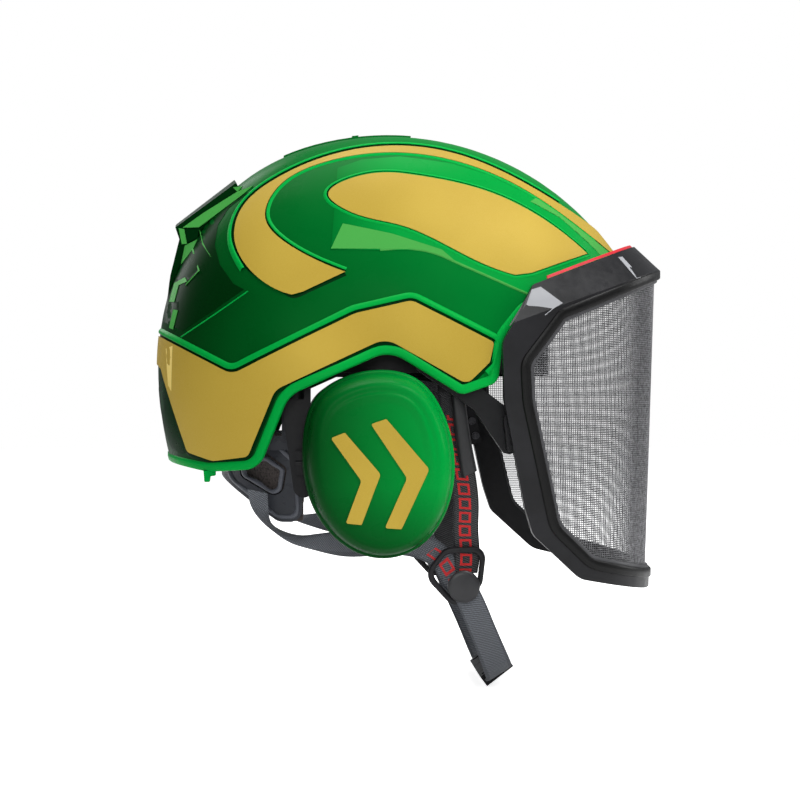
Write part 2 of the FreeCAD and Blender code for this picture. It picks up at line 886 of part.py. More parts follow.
def make_nape_housing():
    """The box on the back of the cradle in which the pinion turns."""
    rear = size("nape_rear_x")
    knob_z = size("knob_z")
    body = box_between((rear - 11, -24, knob_z - 12), (rear + 1.5, 24, knob_z + 8))
    body = body.makeFillet(3, [edge for edge in body.Edges if abs(edge.tangentAt(0).x) > 0.9])
    body = body.cut(nape_plan(-0.1, -130, -40))
    cavity = box_between((rear - 9, -9, knob_z - 7.5), (rear - 0.5, 9, knob_z + 7))
    bore = Part.makeCylinder(
        size("shaft_radius") + size("shaft_play"), 10, Vector(rear - 15, 0, knob_z), Vector(1, 0, 0)
    )
    shaped("nape_housing", body.cut(cavity).cut(bore))


def body_sketch(body, name, plane_role):
    """A sketch on one of the body's own origin planes."""
    sketch = body.newObject("Sketcher::SketchObject", name)
    plane = next(f for f in body.Origin.OriginFeatures if f.Role == plane_role)
    sketch.AttachmentSupport = [(plane, "")]
    sketch.MapMode = "FlatFace"
    return sketch


def circle_in(sketch, x, y, radius_name, radius):
    """A circle whose radius follows a cell of the spreadsheet."""
    index = sketch.addGeometry(Part.Circle(Vector(x, y, 0), Vector(0, 0, 1), radius))
    row = sketch.addConstraint(Sketcher.Constraint("Radius", index, radius))
    sketch.renameConstraint(row, radius_name)
    sketch.setExpression(f"Constraints.{radius_name}", f"Dims.{radius_name}")
    return index


def make_size_knob():
    """The ribbed grip and its shaft, with the pinion on the shaft's inner end."""
    knob = doc.addObject("PartDesign::Body", "SizeKnobBody")
    grip_sketch = body_sketch(knob, "GripOutline", "YZ_Plane")
    circle_in(grip_sketch, 0, 0, "knob_radius", size("knob_radius"))
    grip = knob.newObject("PartDesign::Pad", "Grip")
    grip.Profile = grip_sketch
    grip.setExpression("Length", "Dims.knob_depth")
    shaft_sketch = body_sketch(knob, "ShaftOutline", "YZ_Plane")
    circle_in(shaft_sketch, 0, 0, "shaft_radius", size("shaft_radius"))
    shaft = knob.newObject("PartDesign::Pad", "Shaft")
    shaft.Profile = shaft_sketch
    shaft.setExpression("Length", "Dims.knob_depth + 10.5")
    notch_sketch = body_sketch(knob, "NotchOutline", "YZ_Plane")
    circle_in(notch_sketch, 0, size("knob_radius") + 0.8, "notch_radius", size("notch_radius"))
    notch = knob.newObject("PartDesign::Pocket", "Notch")
    notch.Profile = notch_sketch
    notch.Reversed = True
    notch.setExpression("Length", "Dims.knob_depth")
    doc.recompute()
    notches = knob.newObject("PartDesign::PolarPattern", "Notches")
    notches.Originals = [notch]
    axis = next(f for f in knob.Origin.OriginFeatures if f.Role == "X_Axis")
    notches.Axis = (axis, [""])
    notches.Angle = 360
    notches.Occurrences = 12
    knob.Tip = notches
    rear = size("nape_rear_x")
    knob.Placement = Placement(Vector(rear - 22, 0, size("knob_z")), Rotation())
    doc.recompute()
    plain = math.pi * size("knob_radius") ** 2 * size("knob_depth")
    if grip.Shape.Volume < 0.9 * plain or knob.Shape.Volume > grip.Shape.Volume + 400:
        raise RuntimeError("the knob's grip or notches are missing")
    sub_part(knob, "size_knob")
    teeth = 12
    tip = size("pinion_tip_radius")
    root = size("pinion_root_radius")
    outline = []
    for tooth in range(teeth):
        for share, radius in ((0.0, root), (0.28, tip), (0.5, tip), (0.78, root)):
            turn = 2 * math.pi * (tooth + share) / teeth
            place = Vector(rear - 8.4, radius * math.cos(turn), size("knob_z") + radius * math.sin(turn))
            outline.append(place)
    face = Part.Face(Part.makePolygon(outline + outline[:1]))
    pinion = face.extrude(Vector(6, 0, 0))
    core = Part.makeCylinder(
        size("shaft_radius"), 20, Vector(rear - 12, 0, size("knob_z")), Vector(1, 0, 0)
    )
    shaped("size_pinion", pinion.cut(core))


# ---------------------------------------------------------------- the straps


def webbing(sections, depth):
    """A flat strap through sections, each the middles of its two edges."""
    wires = []
    for i, (rear, front) in enumerate(sections):
        rear = Vector(*rear)
        front = Vector(*front)
        before = sections[max(i - 1, 0)]
        after = sections[min(i + 1, len(sections) - 1)]
        run = Vector(*after[0]) + Vector(*after[1]) - Vector(*before[0]) - Vector(*before[1])
        out = run.cross(front - rear).normalize() * (depth / 2)
        wires.append(Part.makePolygon([rear - out, front - out, front + out, rear + out, rear - out]))
    return Part.makeLoft(wires, True, True)


FRONT_STRAP = [
    ((22.5, -72, -23.5), (37, -72, -26)),
    ((26.5, -72, -60), (41.5, -72, -62)),
    ((32, -69.5, -98), (47, -69.5, -98)),
    ((32.6, -62.7, -115), (47.6, -62.7, -115)),
    ((33, -62.7, -131), (48, -62.7, -131)),
]
SLEEVE = [
    ((30.4, -73.9, -33), (38.4, -73.9, -34)),
    ((33, -74, -60), (42, -74, -61)),
    ((36.5, -72.9, -82), (45.5, -72.4, -78)),
]
REAR_STRAP = [
    ((-87, -73.6, -92), (-76, -73.6, -82)),
    ((-80, -73.6, -108), (-68, -73.6, -98)),
    ((-69, -73.6, -119), (-60, -73.6, -107)),
    ((-50, -70, -126), (-45, -70, -112)),
    ((-27, -64, -129), (-26, -64, -114)),
    ((4, -60, -128), (7, -60, -113)),
    ((19, -60.3, -137), (28, -60.3, -125)),
    ((28, -61, -147), (38, -61, -135)),
]
CHIN_STRAP = [
    ((31, -67.4, -151), (44, -67.4, -143)),
    ((36, -67.4, -161.5), (49, -67.4, -154.5)),
    ((39.5, -64, -169), (53, -64, -162)),
    ((44, -57, -181), (57.5, -57, -174)),
    ((50, -47, -197), (64, -47, -188)),
    ((55, -34, -206.5), (70, -34, -195.5)),
]
DIVIDER_RING = [(27.5, -119.5, 9), (52.5, -119, 8), (50, -142, 12), (34, -158.5, 8), (15, -137, 9)]
DIVIDER_HOLE = [(29, -123, 6), (48.7, -122.6, 5), (46.5, -140, 9), (34.5, -152.5, 6), (20.5, -136.5, 6)]


def make_straps():
    """The strap network on each side, with its sleeve, divider and button."""
    depth = size("webbing_depth")
    front = webbing(FRONT_STRAP, depth)
    pair("front_strap", front)
    pair("strap_sleeve", webbing(SLEEVE, 1.8).cut(front))
    pair("rear_strap", webbing(REAR_STRAP, depth))
    ring = side_prism(rounded_wire(DIVIDER_RING), -66.4, -63.8)
    hole = side_prism(rounded_wire(DIVIDER_HOLE), -70, -60)
    bridge = cylinder_across(39.4, -144.5, -66.4, -63.8, 6.5)
    pair("strap_divider", ring.cut(hole).fuse(bridge))
    radius = size("button_radius")
    button = cylinder_across(39.4, -144.5, -72.2, -68.3, radius)
    rim = max(button.Edges, key=lambda edge: -edge.BoundBox.YMin * (edge.Length > 20))
    button = button.makeFillet(1.6, [rim])
    pair("divider_button", button)
    pair("chin_strap", webbing(CHIN_STRAP, depth))
    anchor = box_between((23.5, -75.4, -33), (35.5, -72.8, -22.05))
    shaped("strap_anchors", both_sides(anchor))


def primitive(kind, name, **values):
    """A Part primitive; a text value is an expression on the spreadsheet."""
    thing = doc.addObject(kind, name)
    for prop, value in values.items():
        if isinstance(value, str):
            thing.setExpression(prop, value)
        else:
            setattr(thing, prop, value)
    return thing


def buckle_place(along, y, up):
    """A place in the buckle's own leaning frame: along its width, across the chin, and up."""
    lean = math.radians(size("buckle_lean"))
    x = size("buckle_x") + along * math.cos(lean) - up * math.sin(lean)
    z = size("buckle_z") + along * math.sin(lean) + up * math.cos(lean)
    return Placement(Vector(x, y, z), Rotation(Vector(0, 1, 0), -size("buckle_lean")))


def buckle_box(name, width, length, depth, low_y, low_up):
    """A box of the buckle, centred on its width."""
    box = primitive("Part::Box", name, Length=width, Width=length, Height=depth)
    doc.recompute()
    box.Placement = buckle_place(-float(box.Length) / 2, low_y, low_up)
    return box


def cut_away(label, base, tool):
    cut = doc.addObject("Part::Cut", label)
    cut.Base = base
    cut.Tool = tool
    return cut


def join(label, pieces):
    fuse = doc.addObject("Part::MultiFuse", label)
    fuse.Shapes = pieces
    return fuse


def make_buckle():
    """The magnetic buckle under the chin: a socket, a tongue that slides out, two magnets."""
    socket = buckle_box("SocketBody", "Dims.buckle_width", 32, "Dims.buckle_depth", -30, -3.5)
    pocket = buckle_box("SocketPocket", "Dims.buckle_width - 5", 12, 3.4, -9.7, -1.7)
    well = buckle_box("SocketMagnetWell", 8, 5, 4, -14.8, -2)
    strap_slot = buckle_box("SocketStrapSlot", "Dims.buckle_width - 4", 3, 20, -27.5, -8)
    hollow = join("SocketHollow", [pocket, well, strap_slot])
    sub_part(cut_away("SocketCut", socket, hollow), "buckle_socket")
    plate = buckle_box("TonguePlate", "Dims.buckle_width - 5.8", 12.7, 2.6, -9, -1.3)
    grip = buckle_box("TongueGrip", "Dims.buckle_width", 20, "Dims.buckle_depth", 2.6, -3.5)
    well = buckle_box("TongueMagnetWell", 8, 4, 10, -7, -5)
    strap_slot = buckle_box("TongueStrapSlot", "Dims.buckle_width - 4", 3, 20, 17, -8)
    tongue = join("TongueBlank", [plate, grip])
    hollow = join("TongueHollow", [well, strap_slot])
    sub_part(cut_away("TongueCut", tongue, hollow), "buckle_tongue")
    sub_part(buckle_box("SocketMagnet", 8, 5, 4, -14.8, -2), "socket_magnet")
    sub_part(buckle_box("TongueMagnet", 8, 4, 2.4, -7, -1.2), "tongue_magnet")


# ---------------------------------------------------------------- the whole helmet


def check_and_write():
    """Stop on any failed object or bad shape, then write each piece to its own file."""
    doc.recompute()
    for thing in doc.Objects:
        if "Invalid" in thing.State or "Error" in thing.State:
            raise RuntimeError(f"{thing.Name} did not compute: {thing.State}")
    for thing in sub_parts:
        shape = thing.Shape
        if shape.isNull() or not shape.isValid() or not shape.Solids:
            raise RuntimeError(f"{thing.Label} has no valid solid")
    os.makedirs("parts", exist_ok=True)
    for thing in sub_parts:
        thing.Shape.exportStep(f"parts/{thing.Label}.step")


for make in (
    make_outer_shell,
    make_vent_slider,
    make_colour_panels,
    make_rear_vent_hood,
    make_neck_guard_hooks,
    make_inner_liner,
    make_crown_pads,
    make_headband,
    make_headband_clips,
    make_visor,
    make_visor_arms,
    make_visor_pivots,
    make_cups,
    make_ear_arms,
    make_nape_cradle,
    make_rack_bands,
    make_nape_housing,
    make_size_knob,
    make_straps,
    make_buckle,
):
    make()
check_and_write()
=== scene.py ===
import json
import math

import bpy
import bmesh
import numpy as np
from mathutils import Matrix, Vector


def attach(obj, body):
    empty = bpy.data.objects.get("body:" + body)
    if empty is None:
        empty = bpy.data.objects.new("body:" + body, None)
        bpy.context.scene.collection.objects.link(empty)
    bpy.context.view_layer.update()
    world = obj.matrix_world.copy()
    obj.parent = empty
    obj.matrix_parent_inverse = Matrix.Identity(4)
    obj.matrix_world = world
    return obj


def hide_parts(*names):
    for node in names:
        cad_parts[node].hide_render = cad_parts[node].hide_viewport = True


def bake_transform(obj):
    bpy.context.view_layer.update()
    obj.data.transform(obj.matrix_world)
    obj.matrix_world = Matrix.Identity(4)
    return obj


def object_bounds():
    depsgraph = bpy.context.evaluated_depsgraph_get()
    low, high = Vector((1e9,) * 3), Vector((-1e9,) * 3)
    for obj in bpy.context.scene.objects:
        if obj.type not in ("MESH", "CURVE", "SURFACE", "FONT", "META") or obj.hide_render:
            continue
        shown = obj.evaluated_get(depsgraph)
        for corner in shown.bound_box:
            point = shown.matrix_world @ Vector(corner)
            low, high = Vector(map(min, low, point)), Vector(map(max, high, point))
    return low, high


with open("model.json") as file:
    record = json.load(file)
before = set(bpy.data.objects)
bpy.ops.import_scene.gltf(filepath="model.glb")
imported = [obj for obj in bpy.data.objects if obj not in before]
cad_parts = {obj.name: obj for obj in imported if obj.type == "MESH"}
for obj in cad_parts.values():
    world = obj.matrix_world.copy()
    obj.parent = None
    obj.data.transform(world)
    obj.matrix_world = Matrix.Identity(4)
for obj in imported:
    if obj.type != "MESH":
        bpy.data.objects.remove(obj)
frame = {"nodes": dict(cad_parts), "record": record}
cad_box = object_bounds()
nodes = frame["nodes"]

# Forestry helmet: shapes are written in millimetres and turned to metres by build().
# +X is the wearer's front, +Y the wearer's left, +Z up. Side -1 is the right, 1 the left.

MM = 0.001
SIDES = {"right": -1, "left": 1}

# ---------------------------------------------------------------- materials


class Shader:
    """A Principled material under construction."""

    def __init__(self, name, **values):
        self.material = bpy.data.materials.new(name)
        self.material.use_nodes = True
        self.tree = self.material.node_tree
        self.main = self.tree.nodes["Principled BSDF"]
        for key, value in values.items():
            self.main.inputs[key.replace("_", " ")].default_value = value
        self.place = self.node("ShaderNodeTexCoord").outputs["Object"]

    def node(self, kind, **values):
        made = self.tree.nodes.new(kind)
        for key, value in values.items():
            setattr(made, key, value)
        return made

    def link(self, source, target):
        self.tree.links.new(source, target)

    def noise(self, scale, detail=3.0, rough=0.5, stretch=None):
        """Noise from 0 to 1 over the object, scale in cells per metre."""
        made = self.node("ShaderNodeTexNoise")
        made.inputs["Scale"].default_value = scale
        made.inputs["Detail"].default_value = detail
        made.inputs["Roughness"].default_value = rough
        source = self.place
        if stretch is not None:
            mapping = self.node("ShaderNodeMapping")
            mapping.inputs["Scale"].default_value = stretch
            self.link(source, mapping.inputs["Vector"])
            source = mapping.outputs["Vector"]
        self.link(source, made.inputs["Vector"])
        return made.outputs["Fac"]

    def cells(self, scale, feature="F1"):
        """Distances in a cell pattern, scale in cells per metre."""
        made = self.node("ShaderNodeTexVoronoi", feature=feature)
        made.inputs["Scale"].default_value = scale
        self.link(self.place, made.inputs["Vector"])
        return made.outputs["Distance"]

    def ramp(self, source, low, high, to_low=0.0, to_high=1.0):
        """Source moved from the range low..high to to_low..to_high."""
        made = self.node("ShaderNodeMapRange")
        made.inputs["From Min"].default_value = low
        made.inputs["From Max"].default_value = high
        made.inputs["To Min"].default_value = to_low
        made.inputs["To Max"].default_value = to_high
        self.link(source, made.inputs["Value"])
        return made.outputs["Result"]

    def math(self, kind, first, second=None):
        """One sum of values or other outputs."""
        made = self.node("ShaderNodeMath", operation=kind)
        for socket, value in zip(made.inputs, (first, second)):
            if value is None:
                continue
            if isinstance(value, (int, float)):
                socket.default_value = value
            else:
                self.link(value, socket)
        return made.outputs[0]

    def mix(self, factor, first, second):
        """Two colours mixed by a factor; each may be a colour or another mix."""
        made = self.node("ShaderNodeMix", data_type="RGBA")
        sockets = [s for s in made.inputs if s.enabled]
        for socket, value in zip(sockets, (factor, first, second)):
            if isinstance(value, tuple):
                socket.default_value = (*value, 1.0)
            elif isinstance(value, (int, float)):
                socket.default_value = value
            else:
                self.link(value, socket)
        return next(s for s in made.outputs if s.enabled)

    def colour(self, source):
        self.link(source, self.main.inputs["Base Color"])

    def roughness(self, source, low, high):
        self.link(self.ramp(source, 0.3, 0.7, low, high), self.main.inputs["Roughness"])

    def bump(self, source, depth, strength=1.0):
        """Bump from source, depth in metres from its 0 to its 1."""
        made = self.node("ShaderNodeBump")
        made.inputs["Strength"].default_value = strength
        made.inputs["Distance"].default_value = depth
        self.link(source, made.inputs["Height"])
        self.link(made.outputs["Normal"], self.main.inputs["Normal"])

    def axis(self, name):
        """One coordinate of the object's own frame, in metres."""
        made = self.node("ShaderNodeSeparateXYZ")
        self.link(self.place, made.inputs[0])
        return made.outputs[name]

    def strip(self):
        """The place along and across a strap, in millimetres."""
        made = self.node("ShaderNodeUVMap", uv_map="strip")
        parts = self.node("ShaderNodeSeparateXYZ")
        self.link(made.outputs["UV"], parts.inputs[0])
        return parts.outputs["X"], parts.outputs["Y"]


def green_with_painted_shading(name, bright, deep, band=None):
    """Moulded green with painted shade: lighter towards the front and the top, deeper towards the rear; a
    band colour, if given, is a painted lit copy towards the front; with orange peel and faint handling
    marks.
    """
    s = Shader(name, Roughness=0.3, Specular_IOR_Level=0.02)
    # Painted shade: rise lightens the top and ahead lightens the front, standing in for light from overhead
    # and in front; deep is the shaded colour, bright the lit one.
    rise = s.ramp(s.axis("Z"), 0.02, 0.11, 0.0, 0.3)
    ahead = s.ramp(s.axis("X"), -0.13, 0.05, 0.0, 0.75)
    cloud = s.ramp(s.noise(14.0, 2.0), 0.3, 0.7, -0.04, 0.04)
    share = s.math("ADD", s.math("ADD", rise, ahead), cloud)
    lit_share = s.math("MINIMUM", s.math("MAXIMUM", share, 0.0), 1.0)
    base = s.mix(lit_share, deep, bright)
    # Painted light: the band colour, a lighter lit copy of the green, takes over towards the front.
    if band is not None:
        base = s.mix(s.ramp(s.axis("X"), -0.045, 0.0), base, band)
    s.colour(base)
    s.roughness(s.noise(60.0, 4.0), 0.24, 0.36)
    s.bump(s.noise(420.0, 2.0), 0.00003, 0.5)
    return s.material


def cup_with_painted_shading(name, bright, deep):
    """The ear cups' green with painted shade: deeper towards the rear and the underside."""
    s = Shader(name, Roughness=0.3, Specular_IOR_Level=0.04)
    # Painted shade: the colour is darkened towards the rear and towards the underside.
    ahead = s.ramp(s.axis("X"), -0.058, 0.024)
    lit_above = s.ramp(s.axis("Z"), -0.128, -0.085, 0.1, 1.0)
    s.colour(s.mix(s.math("MULTIPLY", ahead, lit_above), deep, bright))
    s.roughness(s.noise(60.0, 4.0), 0.24, 0.36)
    s.bump(s.noise(420.0, 2.0), 0.00003, 0.5)
    return s.material


def gold_foil(name, low, high, fleck):
    """Satin gold lacquer with a fine metallic grain."""
    s = Shader(name, Metallic=0.1, Roughness=0.5, Specular_IOR_Level=0.12)
    grain = s.noise(3200.0, 2.0)
    cloud = s.noise(11.0, 2.0)
    base = s.mix(s.ramp(cloud, 0.3, 0.7), low, high)
    s.colour(s.mix(s.ramp(grain, 0.3, 0.75, 0.0, 0.3), base, fleck))
    s.roughness(s.noise(900.0, 3.0), 0.42, 0.58)
    s.bump(grain, 0.00002, 0.5)
    return s.material


def moulded_plastic(name, tone, worn, rough=0.42, grain=2600.0):
    """Grained black or grey plastic, a little lighter where it is handled."""
    s = Shader(name, Roughness=rough, Specular_IOR_Level=0.18)
    patch = s.noise(38.0, 4.0)
    s.colour(s.mix(s.ramp(patch, 0.42, 0.72), tone, worn))
    s.roughness(s.noise(240.0, 3.0), rough - 0.06, rough + 0.08)
    s.bump(s.noise(grain, 2.0), 0.00004, 0.6)
    return s.material


def satin_rubber(name, tone, sheen):
    """Smooth rubber with a soft shine."""
    s = Shader(name, Roughness=0.36, Specular_IOR_Level=0.35)
    s.colour(s.mix(s.ramp(s.noise(70.0), 0.35, 0.7), tone, sheen))
    s.bump(s.noise(1500.0), 0.00003, 0.5)
    return s.material


def steel(name, tone):
    """Brushed metal of one tone."""
    s = Shader(name, Metallic=1.0, Roughness=0.3)
    brushed = s.noise(600.0, 4.0, 0.6, (1.0, 12.0, 1.0))
    s.colour(s.mix(s.ramp(brushed, 0.3, 0.7), tone, tuple(1.3 * part for part in tone)))
    s.roughness(brushed, 0.24, 0.42)
    return s.material


def wire_metal(name):
    """Dark drawn wire, unevenly bright."""
    s = Shader(name, Metallic=0.7, Roughness=0.35)
    s.colour(s.mix(s.ramp(s.noise(500.0), 0.35, 0.65), (0.10, 0.10, 0.105), (0.26, 0.26, 0.27)))
    return s.material


def foam(name, tone):
    """Expanded foam: fused beads."""
    s = Shader(name, Roughness=0.85, Specular_IOR_Level=0.2)
    beads = s.cells(320.0)
    s.colour(s.mix(s.ramp(beads, 0.1, 0.7), tone, tuple(1.7 * part for part in tone)))
    s.bump(beads, 0.0003, 0.6)
    return s.material


def knit(name, tone, light):
    """Open knitted textile: small dark holes in a lighter lattice."""
    s = Shader(name, Roughness=0.9, Specular_IOR_Level=0.15, Sheen_Weight=0.25)
    holes = s.cells(720.0)
    lattice = s.ramp(holes, 0.15, 0.5)
    fleck = s.noise(2400.0, 2.0)
    base = s.mix(lattice, tone, light)
    s.colour(s.mix(s.ramp(fleck, 0.45, 0.7, 0.0, 0.5), base, (0.10, 0.085, 0.08)))
    s.bump(holes, 0.0004, 0.7)
    return s.material


def leatherette(name, tone):
    """Soft cushion skin with fine creases."""
    s = Shader(name, Roughness=0.5, Specular_IOR_Level=0.4)
    crackle = s.cells(900.0, "DISTANCE_TO_EDGE")
    s.colour(s.mix(s.ramp(crackle, 0.0, 0.12), tuple(0.5 * part for part in tone), tone))
    s.roughness(s.noise(120.0), 0.42, 0.58)
    s.bump(s.ramp(crackle, 0.0, 0.15), 0.00012, 0.6)
    return s.material


WARP_PITCH = 1.5
WEFT_PITCH = 1.3
SELVEDGE = 6.5


def woven_band(name, tone, light, marks=None):
    """Flat webbing: a coarse weave, a tighter selvedge and open marks woven along it."""
    s = Shader(name, Roughness=0.8, Specular_IOR_Level=0.2, Sheen_Weight=0.15)
    across, along = s.strip()
    warp = s.math("SINE", s.math("MULTIPLY", across, 2 * math.pi / WARP_PITCH))
    shifted = s.math("ADD", along, s.math("MULTIPLY", across, 0.5))
    weft = s.math("SINE", s.math("MULTIPLY", shifted, 2 * math.pi / WEFT_PITCH))
    height = s.math("ADD", s.math("MULTIPLY", s.math("MULTIPLY", warp, weft), 0.5), 0.5)
    fuzz = s.noise(1800.0, 3.0)
    knots = s.ramp(height, 0.45, 0.95)
    shade = s.math("ADD", s.math("MULTIPLY", knots, 0.8), s.math("MULTIPLY", fuzz, 0.25))
    edge = s.math("GREATER_THAN", s.math("ABSOLUTE", across), SELVEDGE)
    base = s.mix(shade, tone, light)
    base = s.mix(s.math("MULTIPLY", edge, 0.5), base, tone)
    if marks is not None:
        pitch, centre, start, colour = marks
        beat = s.math("FRACT", s.math("DIVIDE", along, pitch))
        high = s.math("ABSOLUTE", s.math("SUBTRACT", beat, 0.5))
        wide = s.math("ABSOLUTE", s.math("SUBTRACT", across, centre))
        outer = s.math("MAXIMUM", s.math("DIVIDE", wide, 3.5), s.math("DIVIDE", high, 0.4))
        inner = s.math("MAXIMUM", s.math("DIVIDE", wide, 2.1), s.math("DIVIDE", high, 0.24))
        ring = s.math("MULTIPLY", s.math("LESS_THAN", outer, 1.0), s.math("GREATER_THAN", inner, 1.0))
        where = s.math("MULTIPLY", ring, s.math("GREATER_THAN", along, start))
        base = s.mix(s.math("MULTIPLY", where, 0.85), base, colour)
    s.colour(base)
    s.bump(height, 0.00025, 0.8)
    return s.material


# The lit and the shaded ends of the shell green's painted shade, and a still darker shade for the painted
# dark patches.
LIT_SHELL_GREEN = (0.0, 0.175, 0.024)
SHADED_SHELL_GREEN = (0.0, 0.026, 0.003)
DEEPEST_SHADE_GREEN = (0.0, 0.016, 0.002)

GREEN = green_with_painted_shading("green_with_painted_shading", LIT_SHELL_GREEN, SHADED_SHELL_GREEN)
# A lighter copy of the shell green for the band round the crown panels: painted light.
LIT_BAND_GREEN = green_with_painted_shading("painted_lit_band", LIT_SHELL_GREEN, SHADED_SHELL_GREEN, (0.001, 0.25, 0.035))
# A lighter copy of the green for the ridges, the rim's bead, the seam and the hooks: painted highlight.
LIT_LIP_GREEN = green_with_painted_shading("painted_lit_lip", (0.002, 0.34, 0.046), (0.0, 0.24, 0.034))
# A darker copy of the green for the grooves and the hood's openings: painted shade.
GROOVE_SHADE_GREEN = green_with_painted_shading("painted_groove_shade", (0.0, 0.030, 0.005), (0.0, 0.014, 0.002))
# A still darker copy of the green for the rear vent hood and the dark patches: painted shade.
RECESS_SHADE_GREEN = green_with_painted_shading("painted_recess_shade", SHADED_SHELL_GREEN, DEEPEST_SHADE_GREEN)
# A pale copy of the green: painted reflections and painted highlights on facets, the crease and the hood.
HIGHLIGHT_GREEN = green_with_painted_shading("painted_highlight_green", (0.055, 0.30, 0.055), (0.055, 0.30, 0.055))
# The cups' green, with painted shade towards the rear and the underside.
CUP_SHADED_GREEN = cup_with_painted_shading("cup_green_painted_shading", (0.0, 0.25, 0.034), (0.0, 0.014, 0.001))
GOLD = gold_foil("gold_foil", (0.33, 0.22, 0.021), (0.41, 0.285, 0.036), (0.50, 0.36, 0.08))
# A lighter copy of the gold for the glint on the wing: a painted highlight.
GOLD_PAINTED_GLINT = gold_foil("gold_painted_glint", (0.66, 0.49, 0.12), (0.72, 0.55, 0.16), (0.80, 0.64, 0.22))
BLACK = moulded_plastic("black_plastic", (0.004, 0.004, 0.005), (0.008, 0.008, 0.009), 0.36)
VISOR_BLACK = moulded_plastic("visor_black", (0.009, 0.009, 0.010), (0.014, 0.014, 0.016), 0.34)
# A darker copy of the frame's black for the bead round the opening: painted shade.
VISOR_EDGE_SHADE = moulded_plastic("visor_painted_edge_shade", (0.002, 0.002, 0.002), (0.004, 0.004, 0.004), 0.36)
# A lighter copy of the frame's black for the inner lip and the corner sliver: painted highlight.
VISOR_LIP_HIGHLIGHT = moulded_plastic("visor_painted_lip_highlight", (0.045, 0.045, 0.048), (0.06, 0.06, 0.064), 0.4)
# Pale grey for the corner facets and the front streak on the frame: painted reflections.
REFLECTION_GREY = moulded_plastic("painted_reflection_grey", (0.28, 0.285, 0.30), (0.34, 0.345, 0.36), 0.34)
NAPE_GREY = moulded_plastic("nape_grey", (0.028, 0.030, 0.036), (0.045, 0.047, 0.056), 0.3)
# A lighter copy of the cradle's grey for its ridges: painted highlight.
NAPE_EDGE_HIGHLIGHT = moulded_plastic("nape_painted_edge_highlight", (0.075, 0.08, 0.095), (0.10, 0.105, 0.12), 0.3)
SLEEVE_GREY = satin_rubber("sleeve_rubber", (0.016, 0.016, 0.018), (0.024, 0.024, 0.026))
SEAL_RED = satin_rubber("seal_red", (0.45, 0.010, 0.020), (0.55, 0.014, 0.026))
SCREW_DARK = steel("screw_dark", (0.06, 0.06, 0.065))
MAGNET = steel("magnet_nickel", (0.55, 0.54, 0.52))
WIRE = wire_metal("mesh_wire")
FOAM = foam("liner_foam", (0.018, 0.018, 0.019))
KNIT = knit("pad_textile", (0.012, 0.010, 0.010), (0.048, 0.040, 0.038))
SKIN = leatherette("cushion_skin", (0.014, 0.014, 0.015))
MARK_RED = (0.60, 0.018, 0.020)
BAND_BLACK = woven_band(
    "webbing_black", (0.002, 0.002, 0.003), (0.11, 0.11, 0.115), (8.6, -0.5, 22.0, MARK_RED)
)
BAND_GREY = woven_band(
    "webbing_grey", (0.035, 0.037, 0.043), (0.20, 0.215, 0.24), (10.5, 0.0, 118.0, MARK_RED)
)

FINISH = {
    "shell_green": GREEN,
    "panel_gold": GOLD,
    "visor_black": VISOR_BLACK,
    "frame_black": BLACK,
    "nape_grey": NAPE_GREY,
    "mesh_wire": WIRE,
    "seal_red": SEAL_RED,
    "screw_steel": SCREW_DARK,
    "magnet_steel": MAGNET,
    "liner_foam": FOAM,
    "pad_textile": KNIT,
    "cushion_skin": SKIN,
    "webbing_black": BAND_BLACK,
    "webbing_grey": BAND_GREY,
}


def dress_nodes():
    """Each CAD node takes the finish of its slot in the record."""
    for entry in frame["record"]["subparts"]:
        thing = nodes[entry["node"]]
        finish = FINISH[entry["material_slot"]]
        if not thing.material_slots:
            thing.data.materials.append(finish)
        for place in thing.material_slots:
            place.material = finish
    # Two nodes take copies of the green: the rear vent hood the darker one, as painted shade, and the neck
    # guard hooks the lighter one, as painted highlight.
    for name, finish in (("rear_vent_hood", RECESS_SHADE_GREEN), ("neck_guard_hooks", LIT_LIP_GREEN)):
        nodes[name].material_slots[0].material = finish


# ---------------------------------------------------------------- mesh helpers


def build(name, points, faces, finish, body, sharp=40.0, tags=None):
    """A piece from points in millimetres; tags gives a face its material's number."""
    finishes = finish if isinstance(finish, (list, tuple)) else [finish]
    mesh = bpy.data.meshes.new(name)
    mesh.from_pydata([Vector(p) * MM for p in points], [], faces)
    for one in finishes:
        mesh.materials.append(one)
    if tags is not None:
        mesh.polygons.foreach_set("material_index", tags)
    work = bmesh.new()
    work.from_mesh(mesh)
    bmesh.ops.remove_doubles(work, verts=work.verts, dist=0.000005)
    bmesh.ops.recalc_face_normals(work, faces=work.faces)
    work.to_mesh(mesh)
    work.free()
    mesh.shade_smooth()
    mesh.set_sharp_from_angle(angle=math.radians(sharp))
    thing = bpy.data.objects.new(name, mesh)
    bpy.context.scene.collection.objects.link(thing)
    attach(thing, body)
    return thing


def grid_faces(rows, columns, close_rows=False, close_columns=False):
    """Quads over a grid of points stored row by row."""
    faces = []
    for r in range(rows if close_rows else rows - 1):
        for c in range(columns if close_columns else columns - 1):
            after = (c + 1) % columns
            below = (r + 1) % rows
            here, there = r * columns, below * columns
            faces.append((here + c, here + after, there + after, there + c))
    return faces


